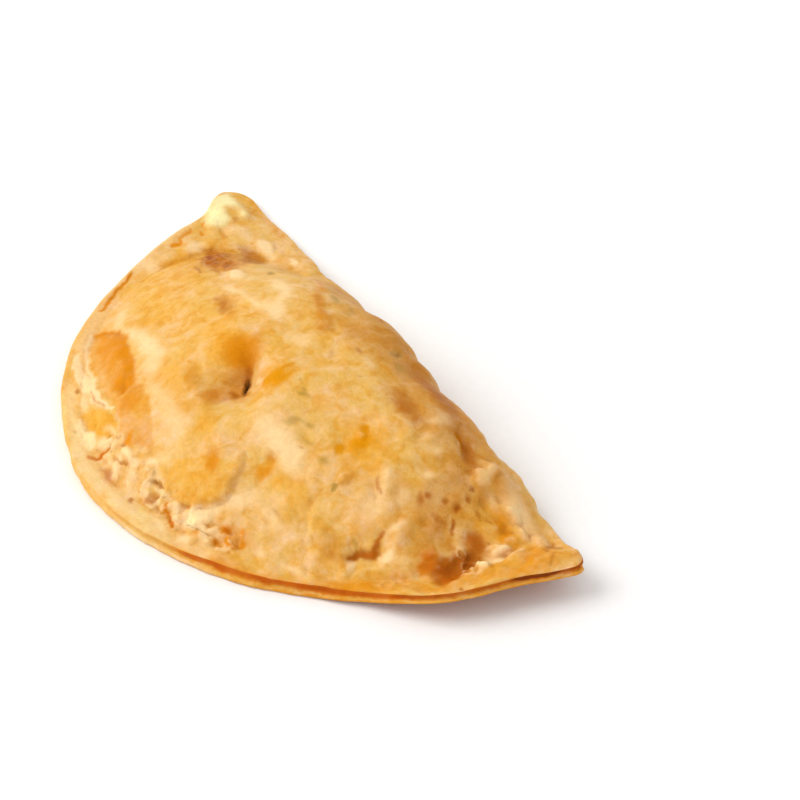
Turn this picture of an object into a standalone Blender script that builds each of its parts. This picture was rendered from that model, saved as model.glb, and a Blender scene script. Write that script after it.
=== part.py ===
"""An empanada: one half-moon of folded dough with a flat pressed rim and a domed, filled middle.

Metres, +Z up. +X runs along the fold from corner to corner, +Y points out of the straight folded
side, and the curved rim lies on -Y. The origin is under the middle of the bounding box, at z = 0.
"""
import math

import bmesh
import bpy

MM = 0.001

# Plan: a disc of dough folded in half.
ARC_RADIUS = 76.3 * MM
ARC_SWELL = 1.1 * MM
ARC_SWELL_ANGLE = -87.0
TAIL_CORNER = (-84.6 * MM, 3.4 * MM)
NOSE_CORNER = (81.0 * MM, 1.6 * MM)
TAIL_CORNER_REACH = 5.0
NOSE_CORNER_REACH = 10.0
FOLD_BOW = -0.9 * MM

# Pressed rim: two layers of dough with a seam between them. Spreads are in degrees of the arc.
RIM_THICKNESS = 3.6 * MM
SEAM_DEPTH = 0.9 * MM
RIM_WIDTH = 4.5 * MM
TAIL_RIM_EXTRA = 25.0 * MM
TAIL_RIM_SPREAD = 17.0
NOSE_RIM_EXTRA = 8.0 * MM
NOSE_RIM_SPREAD = 14.0
FRONT_RIM_EXTRA = 3.0 * MM
FRONT_RIM_ANGLE = -62.0
FRONT_RIM_SPREAD = 20.0

# Dome over the filling, and the round folded side.
DOME_HEIGHT = 20.5 * MM
DOME_SHOULDER = 36.0 * MM
DOME_SHOULDER_TAIL_EXTRA = 22.0 * MM
SHOULDER_GROWS_FROM = -80.0
SHOULDER_GROWS_OVER = 70.0
DOME_FULLNESS = 1.7
DOME_NOSE_DROP = 0.12
DOME_NOSE_REACH = 60.0 * MM
BELLY_FADE = 9.0 * MM
FOLD_SHOULDER = 22.0 * MM
FOLD_SHOULDER_TAIL_EXTRA = 24.0 * MM
THIN_BELLY = 2.2 * MM
FOLD_BELLY = 8.0 * MM
FOLD_BELLY_REACH = 66.0 * MM
FOLD_BELLY_FADE = 45.0 * MM

# Towards the tail the dome falls away from the fold more gently.
TAIL_SLOPE_START = 6.0 * MM
TAIL_SLOPE_LENGTH = 34.0 * MM

# The nose corner curls off the table.
NOSE_LIFT = 4.4 * MM
NOSE_LIFT_REACH = 34.0 * MM

# Steam vent: a slit at the bottom of a dimple, which is also the middle of the net.
VENT = (4.5 * MM, -41.5 * MM)
DIMPLE_DEPTH = 5.5 * MM
DIMPLE_RADIUS = 8.5 * MM
SLIT_HALF_LENGTH = 4.0 * MM
SLIT_HALF_WIDTH = 1.3 * MM
SLIT_DEPTH = 3.0 * MM
SLIT_TURN = math.radians(-38)

# Blisters, lumps and hollows of the top: x, y, reach along x, reach along y, height.
SWELLINGS = [
    (-76.0 * MM, -3.5 * MM, 5.0 * MM, 5.0 * MM, 2.0 * MM),
    (-34.0 * MM, -57.0 * MM, 10.0 * MM, 4.5 * MM, 1.4 * MM),
    (16.0 * MM, -58.0 * MM, 11.0 * MM, 8.0 * MM, 2.2 * MM),
    (-2.0 * MM, -46.0 * MM, 7.0 * MM, 5.0 * MM, -1.2 * MM),
    (38.0 * MM, -50.0 * MM, 8.0 * MM, 6.0 * MM, 1.0 * MM),
    (54.0 * MM, -37.0 * MM, 4.0 * MM, 5.0 * MM, -1.4 * MM),
    (57.0 * MM, -30.0 * MM, 5.0 * MM, 5.0 * MM, 1.2 * MM),
    (66.5 * MM, -23.0 * MM, 5.0 * MM, 5.0 * MM, -1.0 * MM),
    (68.5 * MM, -12.0 * MM, 5.0 * MM, 4.0 * MM, 1.4 * MM),
    (52.0 * MM, -7.0 * MM, 5.0 * MM, 4.0 * MM, 1.6 * MM),
    (60.0 * MM, -3.0 * MM, 10.0 * MM, 4.5 * MM, 5.6 * MM),
]

# Net: cells along the fold, across it, and round the edge from the top to the underside.
CELLS_ALONG = 20
CELLS_ACROSS = 10
EDGE_ROWS = 8
EDGE_BAND = 12.0 * MM
CORNER_BLEND = 16.0 * MM

# Rows of the edge from the top inner row down, as (distance in from the outline, height).
# A distance is a share of the band and a height a share of the edge's own thickness.
# A height of None means that the row lies on the top surface.
RIM_ROWS = [
    (1.0, None),
    (0.5, None),
    (0.1, None),
    (0.0, 0.8),
    (0.0, 0.5),
    (0.0, 0.22),
    (0.1, 0.0),
    (0.5, 0.0),
    (1.0, 0.0),
]
FOLD_ROWS = [
    (1.0, None),
    (0.5, None),
    (0.14, None),
    (0.0, 1.0),
    (0.02, 0.62),
    (0.13, 0.2),
    (0.36, 0.0),
    (0.6, 0.0),
    (1.0, 0.0),
]
SEAM_ROW = 4


def smooth(value):
    """Ease from 0 to 1 as value goes from 0 to 1."""
    value = min(max(value, 0.0), 1.0)
    return value * value * (3.0 - 2.0 * value)


def bell(distance, reach):
    """A round bump: 1 at distance 0, about a third at the reach."""
    return math.exp(-(distance / reach) ** 2)


def arc_radius(angle):
    """Radius of the curved rim; angle in degrees, 0 at the nose and -180 at the tail."""
    nose_pull = (NOSE_CORNER[0] - ARC_RADIUS) * bell(angle, NOSE_CORNER_REACH)
    tail_pull = (-TAIL_CORNER[0] - ARC_RADIUS) * bell(angle + 180.0, TAIL_CORNER_REACH)
    swell = ARC_SWELL * math.cos(math.radians(4.0 * (angle - ARC_SWELL_ANGLE)))
    return ARC_RADIUS + swell + nose_pull + tail_pull


def fold_line(x):
    """Y of the folded side above a place x."""
    share = (x - TAIL_CORNER[0]) / (NOSE_CORNER[0] - TAIL_CORNER[0])
    chord = TAIL_CORNER[1] + (NOSE_CORNER[1] - TAIL_CORNER[1]) * share
    return chord + FOLD_BOW * math.sin(math.pi * min(max(share, 0.0), 1.0)) ** 2


def outline(across, along):
    """Plan point of the edge for a point on the border of the square net."""
    if along >= 1.0:
        x = TAIL_CORNER[0] + (NOSE_CORNER[0] - TAIL_CORNER[0]) * (across + 1.0) / 2.0
        return x, fold_line(x)
    if across <= -1.0:
        angle = -180.0 + 45.0 * (1.0 - along) / 2.0
    elif across >= 1.0:
        angle = -45.0 * (1.0 - along) / 2.0
    else:
        angle = -90.0 + 45.0 * across
    turn = math.radians(angle)
    radius = arc_radius(angle)
    return radius * math.cos(turn), radius * math.sin(turn)


def rim_width(angle):
    """Width of the flat rim; it is widest in the corners, where there is no filling."""
    tail = TAIL_RIM_EXTRA * bell(angle + 180.0, TAIL_RIM_SPREAD)
    nose = NOSE_RIM_EXTRA * bell(angle, NOSE_RIM_SPREAD)
    front = FRONT_RIM_EXTRA * bell(angle - FRONT_RIM_ANGLE, FRONT_RIM_SPREAD)
    return RIM_WIDTH + tail + nose + front


def dome_shoulder(angle):
    """How far in from the flat rim the dome reaches its full height; longest towards the tail."""
    growth = smooth((SHOULDER_GROWS_FROM - angle) / SHOULDER_GROWS_OVER)
    return DOME_SHOULDER + DOME_SHOULDER_TAIL_EXTRA * growth


def lift(x):
    """How far the whole sheet curls up towards the nose corner."""
    return NOSE_LIFT * smooth((x - (NOSE_CORNER[0] - NOSE_LIFT_REACH)) / NOSE_LIFT_REACH) ** 1.5


def fold_belly(x):
    """Height at which the folded side is widest."""
    return THIN_BELLY + (FOLD_BELLY - THIN_BELLY) * smooth((FOLD_BELLY_REACH - abs(x)) / FOLD_BELLY_FADE)


def top_height(x, y):
    """Height of the top of the crust over a plan point."""
    radius = math.hypot(x, y)
    angle = math.degrees(math.atan2(y, x))
    if angle > 90.0:
        angle -= 360.0
    from_rim = arc_radius(min(angle, 0.0)) - radius
    from_fold = max(fold_line(x) - y, 0.0)
    climb = min(max((from_rim - rim_width(angle)) / dome_shoulder(angle), 0.0), 1.0)
    rise = 1.0 - (1.0 - climb) ** DOME_FULLNESS
    tail_share = smooth((-x - TAIL_SLOPE_START) / TAIL_SLOPE_LENGTH)
    shoulder = FOLD_SHOULDER + FOLD_SHOULDER_TAIL_EXTRA * tail_share
    share = min(from_fold / shoulder, 1.0)
    round_over = math.sqrt(1.0 - (1.0 - share) ** 2)
    edge = RIM_THICKNESS + (fold_belly(x) - RIM_THICKNESS) * math.exp(-from_fold / BELLY_FADE)
    crest = DOME_HEIGHT * (1.0 - DOME_NOSE_DROP * smooth(x / DOME_NOSE_REACH))
    height = edge + crest * rise * round_over
    for swelling_x, swelling_y, reach_x, reach_y, swell in SWELLINGS:
        height += swell * math.exp(-((x - swelling_x) / reach_x) ** 2 - ((y - swelling_y) / reach_y) ** 2)
    height -= DIMPLE_DEPTH * bell(math.hypot(x - VENT[0], y - VENT[1]), DIMPLE_RADIUS)
    return height + lift(x)


def edge_point(across, along, row):
    """A point of the edge band, row by row, from the top inner row round to the underside."""
    x, y = outline(across, along)
    inward_x = VENT[0] - x
    inward_y = VENT[1] - y
    length = math.hypot(inward_x, inward_y)
    corner_gap = min(x - TAIL_CORNER[0], NOSE_CORNER[0] - x)
    fold_share = smooth(corner_gap / CORNER_BLEND) if along >= 1.0 else 0.0
    rim_in, rim_height = RIM_ROWS[row]
    fold_in, fold_height = FOLD_ROWS[row]
    share_in = rim_in + (fold_in - rim_in) * fold_share
    distance = share_in * EDGE_BAND
    if row == SEAM_ROW:
        distance += SEAM_DEPTH * (1.0 - fold_share)
    x += inward_x / length * distance
    y += inward_y / length * distance
    if rim_height is None:
        return x, y, top_height(x, y)
    thickness = RIM_THICKNESS + (fold_belly(x) - RIM_THICKNESS) * fold_share
    share_up = rim_height + (fold_height - rim_height) * fold_share
    return x, y, lift(x) + thickness * share_up


def inner_point(across, along, on_top):
    """A point of the top or underside, on rings that close in on the vent."""
    ring = max(abs(across), abs(along))
    if ring == 0.0:
        x, y = VENT
    else:
        row = 0 if on_top else EDGE_ROWS
        edge_x, edge_y, _ = edge_point(across / ring, along / ring, row)
        x = VENT[0] + (edge_x - VENT[0]) * ring
        y = VENT[1] + (edge_y - VENT[1]) * ring
    return x, y, top_height(x, y) if on_top else lift(x)


def subdivided_block():
    """A 2 x 2 x 2 cube whose sides carry the net."""
    net = bmesh.new()
    bmesh.ops.create_cube(net, size=2.0)
    for axis, cells in enumerate((CELLS_ALONG, CELLS_ACROSS, EDGE_ROWS)):
        uncut = [edge for edge in net.edges if edge.verts[0].co[axis] * edge.verts[1].co[axis] < 0.0]
        bmesh.ops.subdivide_edges(net, edges=uncut, cuts=cells - 1, use_grid_fill=True)
    return net


def press_into_shape(net):
    """Move every vertex of the block to its place on the crust."""
    for vertex in net.verts:
        across, along, level = (round(value, 6) for value in vertex.co)
        if max(abs(across), abs(along)) >= 1.0:
            row = round((1.0 - level) / 2.0 * EDGE_ROWS)
            vertex.co = edge_point(across, along, row)
        else:
            vertex.co = inner_point(across, along, level > 0.0)


def slit_cutter(collection):
    """A thin lens-shaped block that cuts the steam slit."""
    net = bmesh.new()
    bmesh.ops.create_cone(net, cap_ends=True, segments=16, radius1=0.3, radius2=1.0, depth=2.0)
    for vertex in net.verts:
        vertex.co.x *= SLIT_HALF_LENGTH
        vertex.co.y *= SLIT_HALF_WIDTH
        vertex.co.z *= SLIT_DEPTH
    mesh = bpy.data.meshes.new("slit_cutter")
    net.to_mesh(mesh)
    net.free()
    cutter = bpy.data.objects.new("slit_cutter", mesh)
    cutter.location = (VENT[0], VENT[1], top_height(*VENT))
    cutter.rotation_euler = (0.0, 0.0, SLIT_TURN)
    cutter.hide_render = True
    cutter.display_type = "WIRE"
    collection.objects.link(cutter)
    return cutter


def baked_dough():
    material = bpy.data.materials.new("baked_dough")
    material.use_nodes = True
    shader = material.node_tree.nodes["Principled BSDF"]
    shader.inputs["Base Color"].default_value = (0.77, 0.47, 0.16, 1.0)
    shader.inputs["Roughness"].default_value = 0.5
    shader.inputs["Metallic"].default_value = 0.0
    return material


def centre_in_plan(crust, others):
    """Shift the pieces so that the finished crust is centred over the origin."""
    graph = bpy.context.evaluated_depsgraph_get()
    corners = crust.evaluated_get(graph).bound_box
    middle_x = (min(corner[0] for corner in corners) + max(corner[0] for corner in corners)) / 2.0
    middle_y = (min(corner[1] for corner in corners) + max(corner[1] for corner in corners)) / 2.0
    for piece in (crust, *others):
        piece.location.x -= middle_x
        piece.location.y -= middle_y


def main():
    for leftover in list(bpy.data.objects):
        bpy.data.objects.remove(leftover)
    parts = bpy.data.collections.new("empanada")
    cutters = bpy.data.collections.new("cutters")
    bpy.context.scene.collection.children.link(parts)
    bpy.context.scene.collection.children.link(cutters)

    net = subdivided_block()
    press_into_shape(net)
    mesh = bpy.data.meshes.new("crust")
    net.to_mesh(mesh)
    net.free()
    mesh.shade_smooth()
    mesh.materials.append(baked_dough())
    crust = bpy.data.objects.new("crust", mesh)
    parts.objects.link(crust)

    rounding = crust.modifiers.new("rounding", "SUBSURF")
    rounding.levels = 1
    rounding.render_levels = 1
    cutter = slit_cutter(cutters)
    slit = crust.modifiers.new("slit", "BOOLEAN")
    slit.operation = "DIFFERENCE"
    slit.solver = "EXACT"
    slit.object = cutter
    centre_in_plan(crust, [cutter])


main()
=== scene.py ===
"""The looks of the empanada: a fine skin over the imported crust, its baked colours and a studio.

It is laid out as an add-on and run as a script. Each operator in the sidebar's Empanada tab makes
its pieces from the sizes and colours set there.

Places and sizes in the lists are millimetres in the frame of the folded disc of dough: (0, 0) is
the middle of the disc, +X runs along the fold to the nose corner, -Y points at the curved rim.
"""
import math

import bpy
import numpy as np
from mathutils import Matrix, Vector, noise


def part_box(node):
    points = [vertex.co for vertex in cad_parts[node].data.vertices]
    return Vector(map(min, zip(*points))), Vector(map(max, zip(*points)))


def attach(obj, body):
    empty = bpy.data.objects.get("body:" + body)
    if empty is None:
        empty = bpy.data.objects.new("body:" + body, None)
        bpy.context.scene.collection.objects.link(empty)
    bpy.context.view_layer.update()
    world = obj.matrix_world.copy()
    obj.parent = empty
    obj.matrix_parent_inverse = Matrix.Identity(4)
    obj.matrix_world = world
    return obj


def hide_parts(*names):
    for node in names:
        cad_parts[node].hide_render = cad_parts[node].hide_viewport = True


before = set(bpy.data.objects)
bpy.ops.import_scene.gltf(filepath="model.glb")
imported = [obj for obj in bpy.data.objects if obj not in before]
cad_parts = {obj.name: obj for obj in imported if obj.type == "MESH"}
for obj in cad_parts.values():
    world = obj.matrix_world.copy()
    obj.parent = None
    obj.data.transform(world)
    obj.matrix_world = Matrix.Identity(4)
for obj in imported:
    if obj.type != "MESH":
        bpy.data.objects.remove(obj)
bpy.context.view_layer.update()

bl_info = {
    "name": "Empanada",
    "version": (1, 0, 0),
    "blender": (4, 5, 0),
    "location": "3D View > Sidebar > Empanada",
    "description": "A baked half-moon of folded dough on a studio floor",
    "category": "Object",
}

MM = 0.001
CRUST_LOW, CRUST_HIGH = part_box("crust")

# The middle of the disc lies this far in from the nose end and from the front of the crust.
MIDDLE_TO_NOSE = 80.38
MIDDLE_TO_FRONT = 76.93
MIDDLE = (CRUST_HIGH.x / MM - MIDDLE_TO_NOSE, CRUST_LOW.y / MM + MIDDLE_TO_FRONT)

# ---------------------------------------------------------------- sizes of the base form
# The curved rim in plan, with a shallow swell that comes back four times round the circle.
ARC_RADIUS = 76.3
ARC_SWELL = 1.1
ARC_SWELL_ANGLE = -87.0
ARC_SWELL_WAVES = 4.0
# The two corners, the reach in degrees of the rim's pull to each, and the bow of the fold.
TAIL_CORNER = (-84.0, 4.0)
NOSE_CORNER = (79.8, 1.8)
TAIL_CORNER_REACH = 4.5
NOSE_CORNER_REACH = 10.0
FOLD_BOW = -1.1
# Where the edge strays from its plain line: (angle, spread, out) on the rim, (x, reach, out) on the fold.
RIM_SWELLS = [
    (-152.0, 12.0, -1.3), (-122.0, 12.0, 0.6), (-93.0, 7.0, 0.6), (-66.0, 10.0, -0.8), (-44.0, 15.0, -1.9),
    (-21.5, 9.0, 3.4),
]
FOLD_SWELLS = [
    (-76.0, 6.0, 0.4), (-58.0, 8.0, 1.3), (-44.0, 6.0, 1.0), (-36.0, 7.0, -1.2), (-10.0, 5.0, -1.1),
    (3.0, 6.0, 1.3), (8.0, 3.0, 0.4), (11.5, 3.0, -0.5), (16.0, 4.0, 1.1), (24.0, 4.0, -0.3),
    (38.0, 5.0, 0.7), (52.0, 5.0, 3.1), (63.0, 6.0, 0.9), (72.0, 5.0, -0.9),
]
# The pressed rim, and how much wider it is at the tail, at the nose and in front.
RIM_THICKNESS = 3.8
RIM_WIDTH = 4.5
TAIL_RIM_EXTRA = 25.0
TAIL_RIM_SPREAD = 17.0
NOSE_RIM_EXTRA = 8.0
NOSE_RIM_SPREAD = 14.0
FRONT_RIM_EXTRA = 3.0
FRONT_RIM_ANGLE = -62.0
FRONT_RIM_SPREAD = 20.0
# The dome over the filling, and how far in from the rim its shoulder reaches.
DOME_HEIGHT = 20.5
DOME_SHOULDER = 36.0
DOME_SHOULDER_TAIL_EXTRA = 22.0
SHOULDER_GROWS_FROM = -80.0
SHOULDER_GROWS_OVER = 70.0
DOME_FULLNESS = 1.7
DOME_NOSE_DROP = 0.12
DOME_NOSE_REACH = 60.0
# The folded side: its round belly, which thins towards both ends, and the shoulder over it, which
# reaches further in towards the tail.
BELLY_FADE = 9.0
FOLD_SHOULDER = 22.0
FOLD_SHOULDER_TAIL_EXTRA = 24.0
THIN_BELLY = 2.2
FOLD_BELLY = 8.0
FOLD_BELLY_REACH = 66.0
FOLD_BELLY_FADE = 45.0
TAIL_SLOPE_START = 6.0
TAIL_SLOPE_LENGTH = 34.0
# The nose corner curls up off the floor and thins.
NOSE_LIFT = 6.6
NOSE_LIFT_REACH = 36.0
NOSE_LIFT_POWER = 2.0
NOSE_THINS = 1.2
NOSE_THINS_FROM = 44.0
NOSE_THINS_OVER = 30.0
# The middle of the skin's net, the width of its edge band and the blend at the corners.
VENT = (4.5, -41.5)
EDGE_BAND = 12.0
CORNER_BLEND = 16.0
# The two layers' edges wander in and out: how far, then (size of the waves, octaves, seed).
RIM_WAVE = 0.35
UPPER_WAVE = (10.0, 2, 3.0)
LOWER_WAVE = (5.0, 4, 14.0)
# The edge is kept at this many places, and its corners are rounded over so many of them.
OUTLINE_STEPS = 3600
ROUNDING_STEPS = 34
# How exactly a point has to lie on the border of the net, or short of it.
BORDER_SLACK = 1e-4
TINY = 1e-6

# The two layers of the rim part into a seam along the front; angles in degrees.
SEAM_STARTS = -88.0
SEAM_GROWS = 36.0

# ---------------------------------------------------------------- net of the skin
# Cuts of the block along X and Y, in turns; the rows of the edge are its cuts along Z.
PLAN_CELLS = ((100, 3), (50, 3))
BAND_ROWS = 28
WALL_ROWS = 12
UNDER_ROWS = 5
EDGE_ROWS = BAND_ROWS + WALL_ROWS + UNDER_ROWS
RING_POWER = 1.15

LIP = 1.1
LIP_ROUNDNESS = 0.8
# Share of the rim's thickness at which its layers meet, and over which one blends into the other.
LAYERS_MEET = 0.40
LAYER_BLEND = 0.1
# Side of the pressed rim from its lip down: (distance in, share of the rim's thickness).
RIM_SIDE = [
    (0.3, 0.95), (0.28, 0.88), (0.42, 0.79), (0.52, 0.69), (0.55, 0.59), (0.52, 0.5), (0.34, 0.4),
    (-0.05, 0.3), (-0.55, 0.2), (-0.45, 0.06), (0.2, 0),
]
# The same side where the layers are pressed into one.
CLOSED_SIDE = [
    (0.3, 0.95), (0.12, 0.88), (0.02, 0.79), (-0.03, 0.69), (-0.05, 0.59), (-0.05, 0.5), (-0.02, 0.4),
    (0.03, 0.3), (0.12, 0.2), (0.35, 0.06), (0.8, 0),
]
# Side of the fold: (distance in as a share of the band, share of the belly's height).
FOLD_SIDE = [
    (1, None), (0.5, None), (0.14, None), (0, 1), (0.02, 0.62), (0.13, 0.2), (0.36, 0), (0.6, 0), (1, 0),
]
# Where the band, the side and the underside begin and end, counted in the rows of that side.
FOLD_STOPS = (0.0, 2.3, 5.4, 8.0)
# What a share of the rim's thickness reads on top and on the underside.
ON_TOP = 2.0
UNDERNEATH = -1.0


# ---------------------------------------------------------------- small maths
def smooth(value):
    """Ease from 0 to 1 as value goes from 0 to 1."""
    value = np.clip(value, 0.0, 1.0)
    return value * value * (3.0 - 2.0 * value)


def ramp(value, start, over):
    """Ease from 0 at the start to 1 once the value is past it by over, which may be negative."""
    return smooth((value - start) / over)


def bell(distance, reach):
    """A round bump: 1 at distance 0, about a third at the reach."""
    return np.exp(-(distance / reach) ** 2)


def grain(points, size, octaves, seed):
    """Noise with lumps of the given size, about -1 to 1, at every point."""
    shift = np.array((seed, 2.7 * seed, -1.3 * seed))
    return np.array([noise.fractal(place, 1.0, 2.0, octaves) for place in points / size + shift])


def turned(x, y, middle, turn):
    """Place along and across a line turned by degrees about its middle."""
    angle = math.radians(turn)
    along = (x - middle[0]) * math.cos(angle) + (y - middle[1]) * math.sin(angle)
    across = (y - middle[1]) * math.cos(angle) - (x - middle[0]) * math.sin(angle)
    return along, across


def ellipse_distance(x, y, middle_x, middle_y, reach_along, reach_across, turn):
    """Distance from the middle of a turned ellipse, 1 on its outline."""
    along, across = turned(x, y, (middle_x, middle_y), turn)
    return np.hypot(along / reach_along, across / reach_across)


def spot(x, y, middle_x, middle_y, reach_along, reach_across, turn, edge):
    """A spot of 1 that fades out over its edge; an edge of 1 is a round hill."""
    distance = ellipse_distance(x, y, middle_x, middle_y, reach_along, reach_across, turn)
    if edge >= 1.0:
        return np.exp(-distance ** 2)
    return smooth((1.0 + edge - distance) / (2.0 * edge))


def line_distance(x, y, points):
    """Distance to an open line through the points."""
    gaps = []
    for (ax, ay), (bx, by) in zip(points, points[1:]):
        span = (bx - ax) ** 2 + (by - ay) ** 2
        foot = np.clip(((x - ax) * (bx - ax) + (y - ay) * (by - ay)) / span, 0.0, 1.0)
        gaps.append(np.hypot(x - ax - foot * (bx - ax), y - ay - foot * (by - ay)))
    return np.minimum.reduce(gaps)


def depth_inside(x, y, points):
    """Distance to a closed outline, above 0 inside it."""
    ring = points + points[:1]
    gap = line_distance(x, y, ring)
    inside = np.zeros(x.shape, bool)
    for (ax, ay), (bx, by) in zip(ring, ring[1:]):
        if ay == by:
            continue
        crosses = (ay > y) != (by > y)
        inside ^= crosses & (x < ax + (y - ay) * (bx - ax) / (by - ay))
    return np.where(inside, gap, -gap)


# ---------------------------------------------------------------- base form
def swells(place, places):
    """Sum of round bumps, each with a place, a reach and a height."""
    return sum(out * bell(place - middle, reach) for middle, reach, out in places)


def arc_radius(angle):
    """Radius of the plain curved rim; angle in degrees, 0 at the nose and -180 at the tail."""
    nose_pull = (NOSE_CORNER[0] - ARC_RADIUS) * bell(angle, NOSE_CORNER_REACH)
    tail_pull = (-TAIL_CORNER[0] - ARC_RADIUS) * bell(angle + 180.0, TAIL_CORNER_REACH)
    swell = ARC_SWELL * np.cos(np.radians(ARC_SWELL_WAVES * (angle - ARC_SWELL_ANGLE)))
    return ARC_RADIUS + swell + nose_pull + tail_pull


def fold_line(x):
    """Y of the folded side above a place x."""
    share = (x - TAIL_CORNER[0]) / (NOSE_CORNER[0] - TAIL_CORNER[0])
    chord = TAIL_CORNER[1] + (NOSE_CORNER[1] - TAIL_CORNER[1]) * share
    bow = FOLD_BOW * np.sin(np.pi * np.clip(share, 0.0, 1.0)) ** 2
    return chord + bow + swells(x, FOLD_SWELLS)


def raw_outline(position):
    """Plan point of the sharp-cornered edge; the position runs 0 to 4 round the square net."""
    # The four sides: the rim in front, the rim towards the nose, the fold, the rim behind the tail.
    side = np.floor(position)
    share = position - side
    angle = np.select(
        [side == 0, side == 1, side == 3],
        [-135.0 + 90.0 * share, -45.0 + 45.0 * share, -180.0 + 45.0 * share],
        0.0,
    )
    fold_x = NOSE_CORNER[0] + (TAIL_CORNER[0] - NOSE_CORNER[0]) * share
    radius = arc_radius(angle) + swells(angle, RIM_SWELLS)
    x = np.where(side == 2, fold_x, radius * np.cos(np.radians(angle)))
    y = np.where(side == 2, fold_line(fold_x), radius * np.sin(np.radians(angle)))
    return x, y


def border_position(across, along):
    """Where a point on the border of the square net lies, 0 to 4 round it."""
    near = 1.0 - BORDER_SLACK
    tests = [along <= -near, across >= near, along >= near, across <= -near]
    runs = [across + 1.0, along + 1.0, 1.0 - across, 1.0 - along]
    return np.select(tests, [side + run / 2.0 for side, run in enumerate(runs)]) % 4.0


class Outline:
    """The edge in plan, with its two corners rounded, and what varies along it."""

    def __init__(self):
        steps = np.arange(OUTLINE_STEPS) / OUTLINE_STEPS * 4.0
        x, y = raw_outline(steps)
        rounded_x = np.zeros(x.shape)
        rounded_y = np.zeros(y.shape)
        for shift in range(-ROUNDING_STEPS, ROUNDING_STEPS + 1):
            weight = (ROUNDING_STEPS + 1 - abs(shift)) / (ROUNDING_STEPS + 1) ** 2
            rounded_x += weight * np.roll(x, shift)
            rounded_y += weight * np.roll(y, shift)
        self.x = rounded_x
        self.y = rounded_y
        place = np.stack([rounded_x, rounded_y, np.zeros(x.shape)], axis=1)
        self.upper_wave = grain(place, *UPPER_WAVE)
        self.lower_wave = grain(place, *LOWER_WAVE)
        on_fold = (steps >= 2.0) & (steps <= 3.0)
        corner_gap = np.minimum(rounded_x - TAIL_CORNER[0], NOSE_CORNER[0] - rounded_x)
        self.fold_share = np.where(on_fold, smooth(corner_gap / CORNER_BLEND), 0.0)
        _, angle = polar(rounded_x, rounded_y)
        self.seam_share = np.where(on_fold, 0.0, ramp(angle, SEAM_STARTS, SEAM_GROWS))

    def read(self, values, position):
        """Values kept along the edge, read at positions 0 to 4 round it."""
        return values[np.round(position / 4.0 * OUTLINE_STEPS).astype(int) % OUTLINE_STEPS]


def rim_width(angle):
    """Width of the flat rim; it is widest in the corners, where there is no filling."""
    tail = TAIL_RIM_EXTRA * bell(angle + 180.0, TAIL_RIM_SPREAD)
    nose = NOSE_RIM_EXTRA * bell(angle, NOSE_RIM_SPREAD)
    front = FRONT_RIM_EXTRA * bell(angle - FRONT_RIM_ANGLE, FRONT_RIM_SPREAD)
    return RIM_WIDTH + tail + nose + front


def polar(x, y):
    """Distance from the disc's middle and angle in degrees, 0 at the nose, -180 at the tail."""
    angle = np.degrees(np.arctan2(y, x))
    angle = np.where(angle > 90.0, angle - 360.0, angle)
    return np.hypot(x, y), np.minimum(angle, 0.0)


def lift(x):
    """How far the whole sheet curls up towards the nose corner."""
    return NOSE_LIFT * ramp(x, NOSE_CORNER[0] - NOSE_LIFT_REACH, NOSE_LIFT_REACH) ** NOSE_LIFT_POWER


def thickness(x):
    """Thickness of the pressed rim, which thins towards the nose."""
    return RIM_THICKNESS - NOSE_THINS * ramp(x, NOSE_THINS_FROM, NOSE_THINS_OVER)


def fold_belly(x):
    """Height at which the folded side is widest."""
    share = ramp(np.abs(x), FOLD_BELLY_REACH, -FOLD_BELLY_FADE)
    return THIN_BELLY + (FOLD_BELLY - THIN_BELLY) * share


def climb(x, y):
    """How far up the dome a place is: 0 on the flat rim, 1 where the dome is full."""
    radius, angle = polar(x, y)
    growth = ramp(angle, SHOULDER_GROWS_FROM, -SHOULDER_GROWS_OVER)
    shoulder = DOME_SHOULDER + DOME_SHOULDER_TAIL_EXTRA * growth
    return np.clip((arc_radius(angle) - radius - rim_width(angle)) / shoulder, 0.0, 1.0)


def top_height(x, y):
    """Height of the plain top of the crust over a plan point."""
    from_fold = np.maximum(fold_line(x) - y, 0.0)
    rise = 1.0 - (1.0 - climb(x, y)) ** DOME_FULLNESS
    tail_share = ramp(-x, TAIL_SLOPE_START, TAIL_SLOPE_LENGTH)
    shoulder = FOLD_SHOULDER + FOLD_SHOULDER_TAIL_EXTRA * tail_share
    share = np.minimum(from_fold / shoulder, 1.0)
    round_over = np.sqrt(1.0 - (1.0 - share) ** 2)
    edge = thickness(x) + (fold_belly(x) - thickness(x)) * np.exp(-from_fold / BELLY_FADE)
    crest = DOME_HEIGHT * (1.0 - DOME_NOSE_DROP * smooth(x / DOME_NOSE_REACH))
    return edge + crest * rise * round_over + lift(x)


def follow(controls, position):
    """Read the smooth curve (a cubic B-spline) near its controls, at a position counted in them."""
    before = 2.0 * controls[0] - controls[1]
    after = 2.0 * controls[-1] - controls[-2]
    padded = np.vstack([before, controls, after, after])
    base = np.floor(position).astype(int)
    t = position - base
    weights = (
        (1.0 - t) ** 3,
        3.0 * t ** 3 - 6.0 * t ** 2 + 4.0,
        -3.0 * t ** 3 + 3.0 * t ** 2 + 3.0 * t + 1.0,
        t ** 3,
    )
    columns = np.arange(len(base))
    return sum(weight * padded[base + step, columns] for step, weight in enumerate(weights)) / 6.0


def by_part(row, top, side, underside):
    """Pick between the edge band's top, its side and its underside by the row."""
    return np.where(row <= BAND_ROWS, top, np.where(row <= BAND_ROWS + WALL_ROWS, side, underside))


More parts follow.
